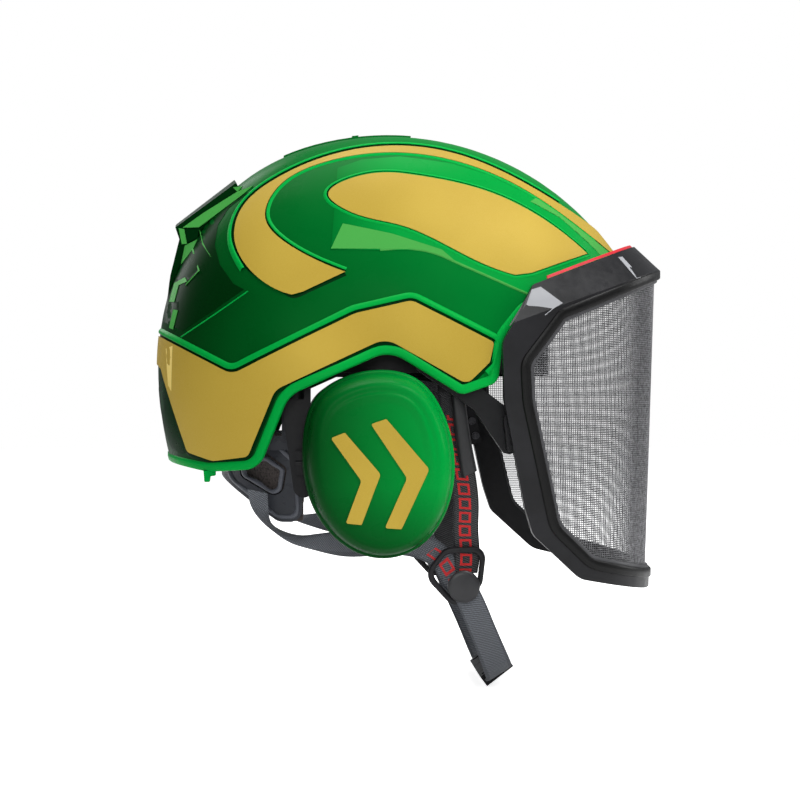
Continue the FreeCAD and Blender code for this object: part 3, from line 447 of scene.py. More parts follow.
def rounded(corners, step=3.0, closed=True):
    """Side-view points along straight runs and arcs, from (x, z, radius) corners."""
    spots = [Vector((x, z)) for x, z, _ in corners]
    line = []
    count = len(spots)
    for i, (_, _, radius) in enumerate(corners):
        spot = spots[i]
        if radius <= 0 or (not closed and i in (0, count - 1)):
            line.append([spot])
            continue
        back = (spots[i - 1] - spot).normalized()
        ahead = (spots[(i + 1) % count] - spot).normalized()
        half_angle = back.angle(ahead) / 2
        run = radius / math.tan(half_angle)
        centre = spot + (back + ahead).normalized() * (radius / math.sin(half_angle))
        start = spot + back * run - centre
        end = spot + ahead * run - centre
        parts = max(4, int(start.angle(end) * radius / 1.5))
        arc = [centre + start.slerp(end, k / parts) * 1.0 for k in range(parts + 1)]
        line.append([centre + (p - centre).normalized() * radius for p in arc])
    points = []
    for i, bend in enumerate(line):
        points += bend
        if i == count - 1 and not closed:
            break
        ahead = line[(i + 1) % count][0]
        gap = (ahead - bend[-1]).length
        parts = max(1, int(gap / step))
        points += [bend[-1].lerp(ahead, k / parts) for k in range(1, parts)]
    return points


def smooth_through(places, step=2.0, closed=False):
    """A smooth curve through places, as points about step apart (chord-length cubic spline)."""
    spots = np.array(places, float)
    if closed:
        wrap = 3
        spots = np.vstack([spots[-wrap:], spots, spots[: wrap + 1]])
    gaps = np.linalg.norm(np.diff(spots, axis=0), axis=1)
    knots = np.concatenate([[0.0], np.cumsum(gaps)])
    count = len(spots)
    matrix = np.zeros((count, count))
    right = np.zeros_like(spots)
    matrix[0, 0] = matrix[-1, -1] = 1.0
    for i in range(1, count - 1):
        matrix[i, i - 1] = gaps[i - 1]
        matrix[i, i] = 2 * (gaps[i - 1] + gaps[i])
        matrix[i, i + 1] = gaps[i]
        right[i] = 6 * ((spots[i + 1] - spots[i]) / gaps[i] - (spots[i] - spots[i - 1]) / gaps[i - 1])
    bend = np.linalg.solve(matrix, right)
    first, last = (wrap, count - 1 - wrap) if closed else (0, count - 1)
    length = knots[last] - knots[first]
    parts = max(2, int(round(length / step)))
    points = []
    for k in range(parts if closed else parts + 1):
        t = knots[first] + length * k / parts
        i = min(max(int(np.searchsorted(knots, t, side="right")) - 1, 0), count - 2)
        h = gaps[i]
        a = (knots[i + 1] - t) / h
        b = 1 - a
        bends = ((a**3 - a) * bend[i] + (b**3 - b) * bend[i + 1]) * h * h / 6
        points.append(Vector(a * spots[i] + b * spots[i + 1] + bends))
    return points


# ---------------------------------------------------------------- the dome

DOME_CENTRE = Vector((0, 0, -45))
DOME_POWER = 2.3
REACH = 170.0
REACH_DROP = 32.0
HALF_WIDTH = 98.0
REAR_WIDENING = 10.0


def ease(value):
    """A smooth rise from 0 to 1."""
    value = min(max(value, 0.0), 1.0)
    return value * value * (3 - 2 * value)


def dome_size(x, z):
    """The dome's reach and half width in the direction of a side-view place."""
    over = math.degrees(math.atan2(z - DOME_CENTRE.z, x))
    if over < -90:
        over += 360
    reach = REACH - REACH_DROP * ease((over - 110) / 85)
    return reach, HALF_WIDTH + REAR_WIDENING * ease((over - 100) / 60)


def onto_dome(point, lift=0.0):
    """The point moved onto the dome, then out along its normal; and that normal."""
    spoke = point - DOME_CENTRE
    reach, half = dome_size(point.x, point.z)
    radius = math.hypot(spoke.x, spoke.z)
    level = ((radius / reach) ** DOME_POWER + (abs(spoke.y) / half) ** DOME_POWER) ** (1 / DOME_POWER)
    spoke = spoke / level
    radius = max(math.hypot(spoke.x, spoke.z), 1e-6)
    pull = (radius / reach) ** (DOME_POWER - 1) / reach
    push = (abs(spoke.y) / half) ** (DOME_POWER - 1) / half
    side = -1 if spoke.y < 0 else 1
    normal = Vector((pull * spoke.x / radius, side * push, pull * spoke.z / radius)).normalized()
    return DOME_CENTRE + spoke + normal * lift, normal


def over_dome(x, z, side, lift=0.0):
    """The place on one side of the dome that a side view shows at (x, z)."""
    reach, half = dome_size(x, z)
    spoke = Vector((x, z - DOME_CENTRE.z))
    share = min(spoke.length / reach, 0.99995)
    spoke *= share * reach / spoke.length
    y = side * half * (1 - share**DOME_POWER) ** (1 / DOME_POWER)
    return onto_dome(Vector((spoke.x, y, spoke.y + DOME_CENTRE.z)), lift)[0]


def moulded_lip(name, line, side, profile, finish, tags, closed=False, flip=1, body="helmet"):
    """A moulding along a line on the dome: profile is (distance to the line's left, height)."""
    spine = [over_dome(p[0], p[1], side) for p in line]
    count = len(spine)
    points = []
    for i, spot in enumerate(spine):
        ahead = spine[(i + 1) % count if closed else min(i + 1, count - 1)]
        back = spine[i - 1 if closed or i else 0]
        normal = onto_dome(spot)[1]
        across = normal.cross((ahead - back).normalized()).normalized() * side * flip
        points += [onto_dome(spot + across * away, height)[0] for away, height in profile]
    faces = grid_faces(count, len(profile), close_rows=closed)
    marks = [tags[i % (len(profile) - 1)] for i in range(len(faces))]
    return build(name, points, faces, finish, body, 60, marks)


# ---------------------------------------------------------------- the panels and the rim

RIM_LINE = [
    (-150, -71.5, 0),
    (-108, -78, 30),
    (-79, -75.5, 12),
    (-62.3, -34.9, 18),
    (-6.1, -9.8, 18),
    (34, -34.4, 7),
    (54.5, -27.5, 7),
    (57.8, -3, 16),
    (72, 14, 16),
    (170, 48.7, 0),
]
WING_TOP = [(-140, 0.8, 0), (-93.4, -23.2, 10), (-25, 10.6, 20), (6.5, 18, 8)]
WING_TOP += [(52.6, -5.2, 2), (50, -16.5, 4)]
WING_TOP += [(46, -20.3, 0)]
WING_BASE = [(50.6, -14, 0), (50, -16.5, 4), (37, -28.8, 6), (-8.3, -3.3, 14), (-69.2, -32, 10)]
WING_BASE += [(-84.5, -69, 4), (-105, -72, 10), (-120.5, -67.5, 4), (-136, -25, 0)]
CRESCENT_OUTER = [(98.6, 80), (76.5, 92), (34, 109.3), (3, 113.2), (-34, 107.8), (-69.6, 92), (-89.4, 74)]
CRESCENT_OUTER += [(-93.3, 56), (-85.4, 37.7), (-60, 20.9)]
CRESCENT_INNER = [(-30.5, 34), (-64, 51.3), (-75.5, 66.5), (-69.4, 84.8), (-44.5, 100.6), (2.8, 107.9)]
CRESCENT_INNER += [(33, 103.9), (75.6, 87.3), (120, 58.7)]
CROWN_BROW = [(66, 33.4, 0), (76, 35, 0), (112.5, 48.5, 0)]
CROWN_CURVE = [(112.5, 48.5), (89.8, 65.6), (52.5, 83.6), (11, 92.3), (-24.8, 90.6), (-39.6, 79.8)]
CROWN_CURVE += [(-30, 70.6), (0.7, 61.3), (49.7, 38.5), (66, 33.4)]

# In each profile's tags, 0 is a face painted the lighter lit green and 1 a face painted dark as painted
# shade in the groove.
RIDGE = [(0.1, 0.1), (1.2, 0.1), (1.5, 0.9), (2.2, 1.35), (3.2, 1.25), (4.2, 0.7), (5.2, -0.2)]
RIDGE_TAGS = [1, 1, 0, 0, 0, 0]
FINE_RIDGE = [(0.1, 0.08), (0.7, 0.08), (0.95, 0.6), (1.5, 0.75), (2.2, 0.5), (3.0, -0.1)]
FINE_TAGS = [1, 1, 0, 0, 0]
GROOVE = [(0.05, 0.05), (0.8, 0.07), (2.0, 0.07), (2.6, -0.2)]
GROOVE_TAGS = [1, 1, 1]
RIM_BEAD = [(-0.1, -2.6), (-0.4, -0.4), (0.0, 0.6), (0.8, 1.0), (3.4, 1.0), (4.3, 0.75), (5.0, -0.1)]
RIM_TAGS = [0, 0, 0, 0, 0, 0]
SEAM = [(-0.5, -0.1), (-0.15, 0.35), (0.2, 0.35), (0.5, -0.1)]
SEAM_TAGS = [0, 0, 0]
SIDE_SEAM = [(-124, -1.3), (-103.4, 10.9), (-84.6, 23.4)]
CRESCENT_TAIL = [(-90.5, 46, 0), (-85.4, 37.7, 30), (-59, 20.4, 4), (-30.8, 33.8, 0)]


def make_shell_mouldings():
    """The ridges and grooves that frame each gold panel, the rim's bead and the side seam; their raised
    faces painted lighter as painted highlight, their grooves darker as painted shade.
    """
    lit_and_shaded_greens = [LIT_LIP_GREEN, GROOVE_SHADE_GREEN]
    for name, side in SIDES.items():
        top = rounded(WING_TOP, closed=False)
        moulded_lip(f"wing_ridge_{name}", top, side, RIDGE, lit_and_shaded_greens, RIDGE_TAGS, flip=-1)
        base = rounded(WING_BASE, closed=False)
        moulded_lip(f"wing_groove_{name}", base, side, GROOVE, lit_and_shaded_greens, GROOVE_TAGS, flip=-1)
        outer = smooth_through(CRESCENT_OUTER[:-1])
        moulded_lip(f"crescent_ridge_{name}", outer, side, RIDGE, lit_and_shaded_greens, RIDGE_TAGS, flip=1)
        tail = rounded(CRESCENT_TAIL, closed=False)
        moulded_lip(f"crescent_groove_{name}", tail, side, GROOVE, lit_and_shaded_greens, GROOVE_TAGS, flip=1)
        rim = rounded(RIM_LINE, closed=False)
        moulded_lip(f"rim_bead_{name}", rim, side, RIM_BEAD, lit_and_shaded_greens, RIM_TAGS, flip=-1)
        seam = smooth_through(SIDE_SEAM)
        moulded_lip(f"side_seam_{name}", seam, side, SEAM, lit_and_shaded_greens, SEAM_TAGS)
        inner = smooth_through(CRESCENT_INNER)
        moulded_lip(f"crescent_edge_{name}", inner, side, FINE_RIDGE, lit_and_shaded_greens, FINE_TAGS, flip=1)
        brow = rounded(CROWN_BROW, closed=False)
        crown = smooth_through(CROWN_CURVE) + brow[1:-1]
        moulded_lip(f"crown_edge_{name}", crown, side, FINE_RIDGE, lit_and_shaded_greens, FINE_TAGS, closed=True, flip=1)


# ---------------------------------------------------------------- facets of the shell: a painted lit band, painted reflections and a painted highlight


def dome_patch(name, outline, side, lift, finish, bevel=0.8, cell=5.0):
    """A thin raised facet on the dome, cut from a side-view outline, with a sloped edge."""
    work = bmesh.new()
    spots = [work.verts.new((p[0], 0, p[1])) for p in outline]
    face = work.faces.new(spots)
    bmesh.ops.inset_region(work, faces=[face], thickness=bevel, use_boundary=True, use_even_offset=True)
    bmesh.ops.triangulate(work, faces=work.faces)
    for axis in (0, 2):
        values = [v.co[axis] for v in work.verts]
        line = math.floor(min(values) / cell) * cell
        while line < max(values):
            spot = Vector((0, 0, 0))
            spot[axis] = line
            normal = Vector((0, 0, 0))
            normal[axis] = 1
            everything = list(work.verts) + list(work.edges) + list(work.faces)
            bmesh.ops.bisect_plane(work, geom=everything, plane_co=spot, plane_no=normal, dist=1e-4)
            line += cell
    border = {v for edge in work.edges if len(edge.link_faces) == 1 for v in edge.verts}
    work.verts.index_update()
    flat = [v.co.copy() for v in work.verts]
    heights = [-0.2 if v in border else lift for v in work.verts]
    points = [over_dome(p.x, p.z, side, h) for p, h in zip(flat, heights)]
    faces = [[v.index for v in f.verts] for f in work.faces]
    work.free()
    thing = build(name, points, faces, finish, "helmet", 180)
    mesh = thing.data
    normals = [onto_dome(v.co / MM)[1] for v in mesh.vertices]
    mesh.normals_split_custom_set_from_vertices(normals)
    return thing


# Outline of the band above the crease, painted lighter as a lit copy of the green.
BAND_LOW_EDGE = [(-38.3, 46.9), (-10.9, 46.6), (11.6, 46.8), (22, 44.2)]
BAND_LOW_EDGE += [(31.3, 40.1), (45.5, 34), (72.6, 22.6), (92, 15)]
BAND_FRONT = [(112, 26), (128, 38)]
BAND_TOP = [(119, 56), (98, 71.5), (75.6, 84.6), (54, 94.8)]
BAND_TOP += [(33, 101), (2.8, 104.8), (-20, 102.5), (-34, 97)]
# Outlines of the pale facets: painted reflections.
PATCH_SIDE = [(-31.5, 62), (-38.2, 47.3), (11.6, 47.1), (22, 44.6), (31, 40.8), (24, 47), (-4, 56)]
PATCH_FRONT = [(79, 78.8), (97.4, 69.8), (115.8, 54.4), (126, 44.5)]
PATCH_FRONT += [(132.8, 49.5), (126.2, 61), (106, 75.4), (86.6, 84.2)]
# The crease bead is painted pale: a painted highlight along its edge.
CREASE = [(0.6, 0.0), (0.25, 0.42), (-0.2, 0.5), (-0.6, 0.42), (-1.0, 0.0)]
CREASE_TAGS = [0, 0, 0, 0]


def make_shell_facets():
    """The bright band round each crown panel, painted light; its paler facets, painted reflections; and the
    crease below it, a painted highlight.
    """
    for name, side in SIDES.items():
        outline = BAND_LOW_EDGE + BAND_FRONT + BAND_TOP
        dome_patch(f"crown_lit_band_{name}", outline, side, 0.3, LIT_BAND_GREEN)
        dome_patch(f"side_facet_reflection_{name}", PATCH_SIDE, side, 0.5, HIGHLIGHT_GREEN)
        dome_patch(f"front_facet_reflection_{name}", PATCH_FRONT, side, 0.5, HIGHLIGHT_GREEN)
        crease = smooth_through(BAND_LOW_EDGE[1:], 3.0)
        moulded_lip(f"crease_{name}", crease, side, CREASE, [HIGHLIGHT_GREEN], CREASE_TAGS)


# ---------------------------------------------------------------- the visor

WALL_BACK = 50.0
WALL_POWER = 2.6


def wall_size(x, z):
    """The visor wall's front and half width at a side-view place."""
    knee = 11 + 0.366 * (x - 78)
    crest = 29.5 + 0.407 * (x - 75.5)
    if z <= knee:
        share = (z + 165) / (knee + 165)
        return 158.5 + 5.5 * share, 88 + 15 * share
    share = (z - knee) / (crest - knee)
    return 164 - 16.5 * share, 103 - 15 * share


def on_wall(x, z, side, inset=0.0):
    """The place on one side of the visor wall at a side-view place."""
    front, half = wall_size(x, z)
    share = min(max((x - WALL_BACK) / (front - inset - WALL_BACK), 0.0), 1.0)
    y = (half - inset) * (1 - share**WALL_POWER) ** (1 / WALL_POWER)
    return Vector((x, side * y, z))


def wall_round(turn, height_at, inset):
    """A place round the wall: turn 0 is the front, 90 the side; height_at gives z from x."""
    along = abs(math.cos(math.radians(turn)))
    across = math.sin(math.radians(turn))
    stretch = (along**WALL_POWER + abs(across) ** WALL_POWER) ** (-1 / WALL_POWER)
    x = 140.0
    for _ in range(6):
        z = height_at(x)
        front, half = wall_size(x, z)
        x = WALL_BACK + (front - inset - WALL_BACK) * along * stretch
    return Vector((x, (half - inset) * across * stretch, z))


OPENING = [(185, 45.4, 0), (91.5, 8.4, 5), (71.8, -17.5, 8), (73.2, -38, 40)]
OPENING += [(89.5, -108, 16), (111, -128.5, 14)]
OPENING += [(185, -146, 0)]
TOP_SLOPE = 0.3957
BASE_SLOPE = 0.2365


def opening_ring(inset):
    """The opening's edge on the wall, all the way round, as points."""
    line = rounded(OPENING, 4.0, closed=False)
    side = [p for p in line if p.x < 112]
    top = [wall_round(3.0 * k, lambda x: 8.4 + TOP_SLOPE * (x - 91.5), inset) for k in range(0, 20)]
    top = [p for p in top if p.x > side[0].x + 2]
    base = [wall_round(3.0 * k, lambda x: -128.5 - BASE_SLOPE * (x - 111), inset) for k in range(0, 20)]
    base = [p for p in base if p.x > side[-1].x + 2]
    left = top + [on_wall(p.x, p.y, 1, inset) for p in side] + base[::-1]
    right = [Vector((p.x, -p.y, p.z)) for p in left[1:-1]][::-1]
    return left + right


def wall_normal(point):
    """The wall's outward direction, level with the ground."""
    front, half = wall_size(point.x, point.z)
    ahead = max((point.x - WALL_BACK) / (front - WALL_BACK), 0.0) ** (WALL_POWER - 1) / (front - WALL_BACK)
    out = (abs(point.y) / half) ** (WALL_POWER - 1) / half
    side = -1 if point.y < 0 else 1
    return Vector((ahead, side * out, 0)).normalized()


def ring_moulding(name, profile, finish):
    """A moulding round the opening: profile is (distance from its edge into the frame, height)."""
    ring = opening_ring(0.0)
    count = len(ring)
    points = []
    for i, spot in enumerate(ring):
        normal = wall_normal(spot)
        run = (ring[(i + 1) % count] - ring[i - 1]).normalized()
        across = normal.cross(run).normalized()
        points += [spot + across * away + normal * height for away, height in profile]
    faces = grid_faces(count, len(profile), close_rows=True, close_columns=True)
    return build(name, points, faces, finish, "visor", 50)


def facet_faces(count):
    """The face and the sides of a facet: count points at its foot, then count on its face."""
    faces = [list(range(count, 2 * count))]
    faces += [(i, (i + 1) % count, count + (i + 1) % count, count + i) for i in range(count)]
    return faces


def wall_patch(name, outline, side, lift, finish):
    """A flat facet laid on the frame."""
    points = []
    for height in (-0.3, lift):
        for x, z in outline:
            spot = on_wall(x, z, side)
            points.append(spot + wall_normal(spot) * height)
    return build(name, points, facet_faces(len(outline)), finish, "visor", 30)


WIRE_PITCH = 1.25
WIRE_STEP = 1.4
WIRE_RADIUS = 0.21
WEAVE_INSET = 2.75


def tube_rows(points, faces, line, radius):
    """Add a thin square wire along a line of points."""
    start = len(points)
    count = len(line)
    for i, spot in enumerate(line):
        run = (line[min(i + 1, count - 1)] - line[max(i - 1, 0)]).normalized()
        out = wall_normal(spot)
        up = run.cross(out).normalized()
        points += [spot + out * radius, spot + up * radius, spot - out * radius, spot - up * radius]
    for i in range(count - 1):
        for k in range(4):
            a = start + i * 4 + k
            b = start + i * 4 + (k + 1) % 4
            faces.append((a, b, b + 4, a + 4))


def opening_back(z):
    """The rearmost x of the opening at a height, or None above and below it."""
    line = rounded(OPENING, 4.0, closed=False)
    crossings = []
    for a, b in zip(line, line[1:]):
        if (a.y - z) * (b.y - z) <= 0 and a.y != b.y:
            crossings.append(a.x + (b.x - a.x) * (z - a.y) / (b.y - a.y))
    return min(crossings) if crossings else None


def make_weave():
    """The woven wire: level wires round the face, and upright wires between the bars."""
    points, faces = [], []
    z = -142.0
    while z < 38:
        back = opening_back(z)
        if back is not None:
            level = [wall_round(2.5 * k, lambda x: z, WEAVE_INSET) for k in range(0, 36)]
            level = [p for p in level if p.x > back + 0.4]
            if level and level[-1].x > back + 0.6:
                level.append(on_wall(back, z, 1, WEAVE_INSET))
            if len(level) > 1:
                right = [Vector((p.x, -p.y, p.z)) for p in level[1:]][::-1]
                tube_rows(points, faces, right + level, WIRE_RADIUS)
        z += WIRE_PITCH
    upper = [(p.x, p.y) for p in rounded(OPENING, 4.0, closed=False)]
    turn = 0.0
    while turn < 88:
        probe = wall_round(turn, lambda x: -50.0, WEAVE_INSET)
        high, low = upright_ends(probe.x, upper)
        parts = 5
        line = []
        for k in range(parts + 1):
            z = low + (high - low) * k / parts
            line.append(wall_round(turn, lambda x: z, WEAVE_INSET))
        if high - low > 2:
            tube_rows(points, faces, line, WIRE_RADIUS)
            if turn > 0:
                tube_rows(points, faces, [Vector((p.x, -p.y, p.z)) for p in line], WIRE_RADIUS)
        ahead = wall_round(turn + 0.5, lambda x: -50.0, WEAVE_INSET)
        turn += 0.5 * WIRE_STEP / (ahead - probe).length
    weave = build("visor_weave", points, faces, WIRE, "visor", 180)
    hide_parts("visor_mesh")


def upright_ends(x, outline):
    """Highest and lowest z of the opening at x."""
    heights = []
    for a, b in zip(outline, outline[1:]):
        if (a[0] - x) * (b[0] - x) <= 0 and a[0] != b[0]:
            heights.append(a[1] + (b[1] - a[1]) * (x - a[0]) / (b[0] - a[0]))
    return (max(heights), min(heights)) if len(heights) > 1 else (0, 0)


BEAD = [(-0.2, -1.5), (-0.2, 0.3), (0.5, 0.95), (4.8, 0.95), (5.6, 0.2), (5.6, -1.5)]
LIP = [(0.4, -0.8), (-1.8, -1.0), (-2.3, -1.5), (-2.3, -3.6), (0.4, -3.8)]
# Outlines of painted reflections and highlights on the frame: the corner facet, the sliver beside it and the
# streak at the front.
CORNER_FACET = [(74.3, 24.7), (79.4, 26.2), (90.2, 16.4), (84.8, 13.3), (80.0, 9.4), (70.2, 15.7)]
CORNER_SLIVER = [(73.9, 24.3), (70.2, 15.7), (60.7, 3.9), (59.6, 3.4)]
FRONT_STREAK = [(128.1, 45.3), (130.9, 45.8), (139.9, 33.1), (136.5, 32.2)]


def make_visor_pieces():
    """The raised bead round the mesh, painted darker as painted shade; the inner lip, painted lighter as a
    painted highlight; the corner facets and streaks, painted reflections and highlights; and the weave.
    """
    ring_moulding("visor_bead", BEAD, VISOR_EDGE_SHADE)
    ring_moulding("visor_inner_lip", LIP, VISOR_LIP_HIGHLIGHT)
    for name, side in SIDES.items():
        wall_patch(f"corner_facet_reflection_{name}", CORNER_FACET, side, 0.25, REFLECTION_GREY)
        wall_patch(f"corner_edge_highlight_{name}", CORNER_SLIVER, side, 0.15, VISOR_LIP_HIGHLIGHT)
        wall_patch(f"front_streak_highlight_{name}", FRONT_STREAK, side, 0.25, REFLECTION_GREY)
    make_weave()


# ---------------------------------------------------------------- the ear cups

CUP_CENTRE = Vector((-12.1, 0, -72.5))
CUP_OUTLINE = [(-12.0, -20.8), (8.0, -25.2), (24.0, -45.7), (29.9, -74.0), (25.0, -99.5), (8.0, -120.0)]
CUP_OUTLINE += [(-12.0, -124.8), (-33.5, -116.0), (-50.0, -93.0)]
CUP_OUTLINE += [(-54.2, -62.0), (-46.2, -34.8), (-31.0, -24.6)]
CUP_LEVELS = [
    (93.2, 2.6),
    (93.0, 1.4),
    (94.2, 0.4),
    (96.5, 0.0),
    (100.5, 0.1),
    (102.3, 0.6),
    (103.4, 1.5),
    (103.5, 2.0),
    (105.5, 2.3),
    (108.8, 3.0),
    (112.0, 4.0),
    (114.4, 5.3),
    (116.2, 6.9),
    (117.3, 8.4),
    (117.85, 9.6),
    (118.1, 13.0),
    (118.2, 20.0),
    (118.3, 40.0),
]
CUP_STEPS = [(6.5, 0.7), (13.0, 1.0)]


def cup_outline(count=144):
    """About count points round the cup."""
    return smooth_through(CUP_OUTLINE, 330.0 / count, closed=True)


def cup_place(spot, shrink, y, side):
    """A place on the cup: an outline point drawn in towards the cup's centre."""
    spoke = Vector((spot.x - CUP_CENTRE.x, spot.y - CUP_CENTRE.z))
    share = max(spoke.length - shrink, 0.0) / spoke.length
    return Vector((CUP_CENTRE.x + spoke.x * share, side * y, CUP_CENTRE.z + spoke.y * share))


def cup_relief(spot, shrink):
    """Soft concentric steps round the top, and one crest near the bottom."""
    turn = math.degrees(math.atan2(spot.y - CUP_CENTRE.z, spot.x - CUP_CENTRE.x))
    top = ease(1.25 - abs(turn - 65) / 75)
    base = ease(1.3 - abs(turn + 88) / 38)
    rise = 0.0
    for place, height in CUP_STEPS:
        rise += top * height * (ease((shrink - place) / 1.8 + 0.5) - ease((shrink - place) / 6.0))
    rise += base * 1.0 * math.exp(-(((shrink - 7.5) / 1.5) ** 2))
    return rise


def make_cup(name, side):
    """The cup's shell: flange, rounded edge, stepped face and the inside wall."""
    spots = cup_outline()
    fine = []
    for (y0, s0), (y1, s1) in zip(CUP_LEVELS, CUP_LEVELS[1:]):
        parts = 1 if s1 - s0 < 1.2 else int((s1 - s0) / 0.7)
        fine += [(y0 + (y1 - y0) * k / parts, s0 + (s1 - s0) * k / parts) for k in range(parts)]
    fine.append(CUP_LEVELS[-1])
    points = []
    for y, shrink in fine:
        for spot in spots:
            rise = cup_relief(spot, shrink) if shrink > 2.8 else 0.0
            points.append(cup_place(spot, shrink, y + rise, side))
    count = len(spots)
    faces = grid_faces(len(fine), count, close_columns=True)
    points.append(Vector((CUP_CENTRE.x, side * 118.3, CUP_CENTRE.z)))
    last = (len(fine) - 1) * count
    faces += [(last + i, last + (i + 1) % count, len(points) - 1) for i in range(count)]
    inner_start = len(points)
    for y, shrink in ((93.2, 3.6), (104, 4.6), (113, 10), (115.6, 18), (115.8, 30)):
        points += [cup_place(spot, shrink, y, side) for spot in spots]
    inner = grid_faces(5, count, close_columns=True)
    faces += [tuple(v + inner_start for v in face) for face in inner]
    points.append(Vector((CUP_CENTRE.x, side * 115.8, CUP_CENTRE.z)))
    last = inner_start + 4 * count
    faces += [(last + i, last + (i + 1) % count, len(points) - 1) for i in range(count)]
    faces += [(i, (i + 1) % count, inner_start + (i + 1) % count, inner_start + i) for i in range(count)]
    cup = build(f"cup_cap_{name}", points, faces, CUP_SHADED_GREEN, f"ear_cup_{name}", 60)
    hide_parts(f"cup_shell_{name}")


# ---------------------------------------------------------------- soft pieces


def inflate(thing, pressure, cap):
    """Puff a closed pad with a short cloth simulation, then limit how far each point went."""
    rest = [v.co.copy() for v in thing.data.vertices]
    cloth = thing.modifiers.new("puff", "CLOTH")
    settings = cloth.settings
    settings.use_pressure = True
    settings.uniform_pressure_force = pressure
    settings.effector_weights.gravity = 0.0
    settings.mass = 0.15
    settings.tension_stiffness = 8.0
    settings.bending_stiffness = 0.4
    scene = bpy.context.scene
    for step in range(1, PUFF_STEPS + 1):
        scene.frame_set(step)
    shaped = thing.evaluated_get(bpy.context.evaluated_depsgraph_get())
    ends = [v.co.copy() for v in shaped.data.vertices]
    thing.modifiers.remove(cloth)
    scene.frame_set(1)
    limit = cap * MM
    for vertex, start, end in zip(thing.data.vertices, rest, ends):
        move = end - start
        if move.length > limit:
            move *= limit / move.length
        vertex.co = start + move
    thing.data.update()


PUFF_STEPS = 20


def soften(thing):
    """One level of subdivision, left on as a modifier."""
    smooth = thing.modifiers.new("soften", "SUBSURF")
    smooth.levels = smooth.render_levels = 1


def pillow(name, place, columns, rows, thick, finish, body, stands_for, cap, close=False):
    """A pad: place(u, v, h) gives its points, h from 0 at its backing to thick at its face."""
    points = []
    count = columns if close else columns + 1
    for layer in (0, 1):
        for r in range(rows + 1):
            v = r / rows
            for c in range(count):
                u = c / columns
                edge_v = 1 - abs(2 * v - 1) ** 5
                edge_u = 1.0 if close else 1 - abs(2 * u - 1) ** 9
                crown = thick * (0.25 + 0.75 * (max(edge_u * edge_v, 0.0)) ** 0.5)
                points.append(place(u, v, crown if layer else 0.0))
    per = count * (rows + 1)
    faces = grid_faces(rows + 1, count, close_columns=close)
    faces += [tuple(v + per for v in face[::-1]) for face in faces]
    for r in (0, rows):
        start = r * count
        for c in range(count if close else count - 1):
            a, b = start + c, start + (c + 1) % count
            faces.append((a, b, b + per, a + per))
    if not close:
        for c in (0, count - 1):
            for r in range(rows):
                a, b = r * count + c, (r + 1) * count + c
                faces.append((a, b, b + per, a + per))
    thing = build(name, points, faces, finish, body, 180)
    inflate(thing, 3.0, cap)
    soften(thing)
    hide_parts(stands_for)
    return thing


def make_brow_pad():
    """The sweat pad along the front of the headband."""

    def place(u, v, h):
        turn = math.radians(-62 + 124 * u)
        return Vector((-4 + (100.6 - h) * math.cos(turn), (77.6 - h) * math.sin(turn), -19.5 + 25 * v))

    pillow("brow_cushion", place, 60, 10, 4.2, KNIT, "helmet", "brow_pad", 1.2)


NAPE_MIDDLE = -50
NAPE_REACH = 54.0
NAPE_HALF = 72
NAPE_POWER = 2.4


def nape_round(turn, inset):
    """A place round the nape wall in plan; turn 0 is the rear."""
    along = abs(math.cos(math.radians(turn)))
    across = math.sin(math.radians(turn))
    stretch = (along**NAPE_POWER + abs(across) ** NAPE_POWER) ** (-1 / NAPE_POWER)
    x = NAPE_MIDDLE - (NAPE_REACH - inset) * along * stretch
    return x, (NAPE_HALF - inset) * across * stretch


def make_nape_pad():
    """The pad inside the nape cradle."""

    def place(u, v, h):
        x, y = nape_round(-86 + 172 * u, 3.3 + h)
        ahead = ease((x + 104) / 45)
        low = -82 - 25 * ahead
        high = -58.5 - 12 * ease((x + 72) / 16)
        return Vector((x, y, low + (high - low) * v))

    pillow("nape_cushion", place, 64, 12, 5.0, KNIT, "nape", "nape_pad", 1.5)


CROWN_PAD_AREAS = [
    ("front", (22, 76), (-14, 14)),
    ("rear", (-86, -52), (-14, 14)),
    ("left", (-36, 32), (28, 48)),
    ("right", (-36, 32), (-48, -28)),
]


def make_crown_pads():
    """Four pads under the liner."""
    made = []
    for name, (x0, x1), (y0, y1) in CROWN_PAD_AREAS:

        def place(u, v, h):
            x = x0 + (x1 - x0) * u
            y = y0 + (y1 - y0) * v
            reach, half = dome_size(x, 90)
            inner = reach - 14.6
            spread = (1 - min(abs(y) / (half - 14.6), 0.99) ** DOME_POWER) ** (1 / DOME_POWER)
            radius = inner * spread
            z = DOME_CENTRE.z + math.sqrt(max(radius**2 - x**2, 1.0))
            spot = Vector((x, y, z))
            return spot + (DOME_CENTRE - spot).normalized() * h

        title = f"crown_cushion_{name}"
        pad = pillow(title, place, 20, 10, 5.0, KNIT, "helmet", "crown_pads", 1.5)
        made.append(pad)
    return made


def make_ear_cushion(name, side):
    """A soft sealing ring between the cup and the head."""
    spots = cup_outline(96)

    def place(u, v, h):
        spot = spots[int(round(u * len(spots))) % len(spots)]
        return cup_place(spot, 6.8 + 13.4 * v, 88.6 - 3.0 - 2.4 * h, side)

    ring = pillow(
        f"cushion_ring_{name}",
        place,
        len(spots),
        8,
        4.4,
        SKIN,
        f"ear_cup_{name}",
        f"ear_cushion_{name}",
        1.6,
        close=True,
    )
    return ring


def make_cup_foam(name, side):
    """The absorber inside the cup, with a soft dimpled face."""

    def place(u, v, h):
        x = -38 + 51 * u
        z = -107 + 69 * v
        dimple = 0.7 * math.sin(u * 9 * math.pi) * math.sin(v * 12 * math.pi) if h > 0 else 0.0
        return Vector((x, side * (109.5 - h + dimple), z))

    body, node = f"ear_cup_{name}", f"cup_foam_{name}"
    pillow(f"cup_absorber_{name}", place, 36, 44, 8.0, FOAM, body, node, 1.0)


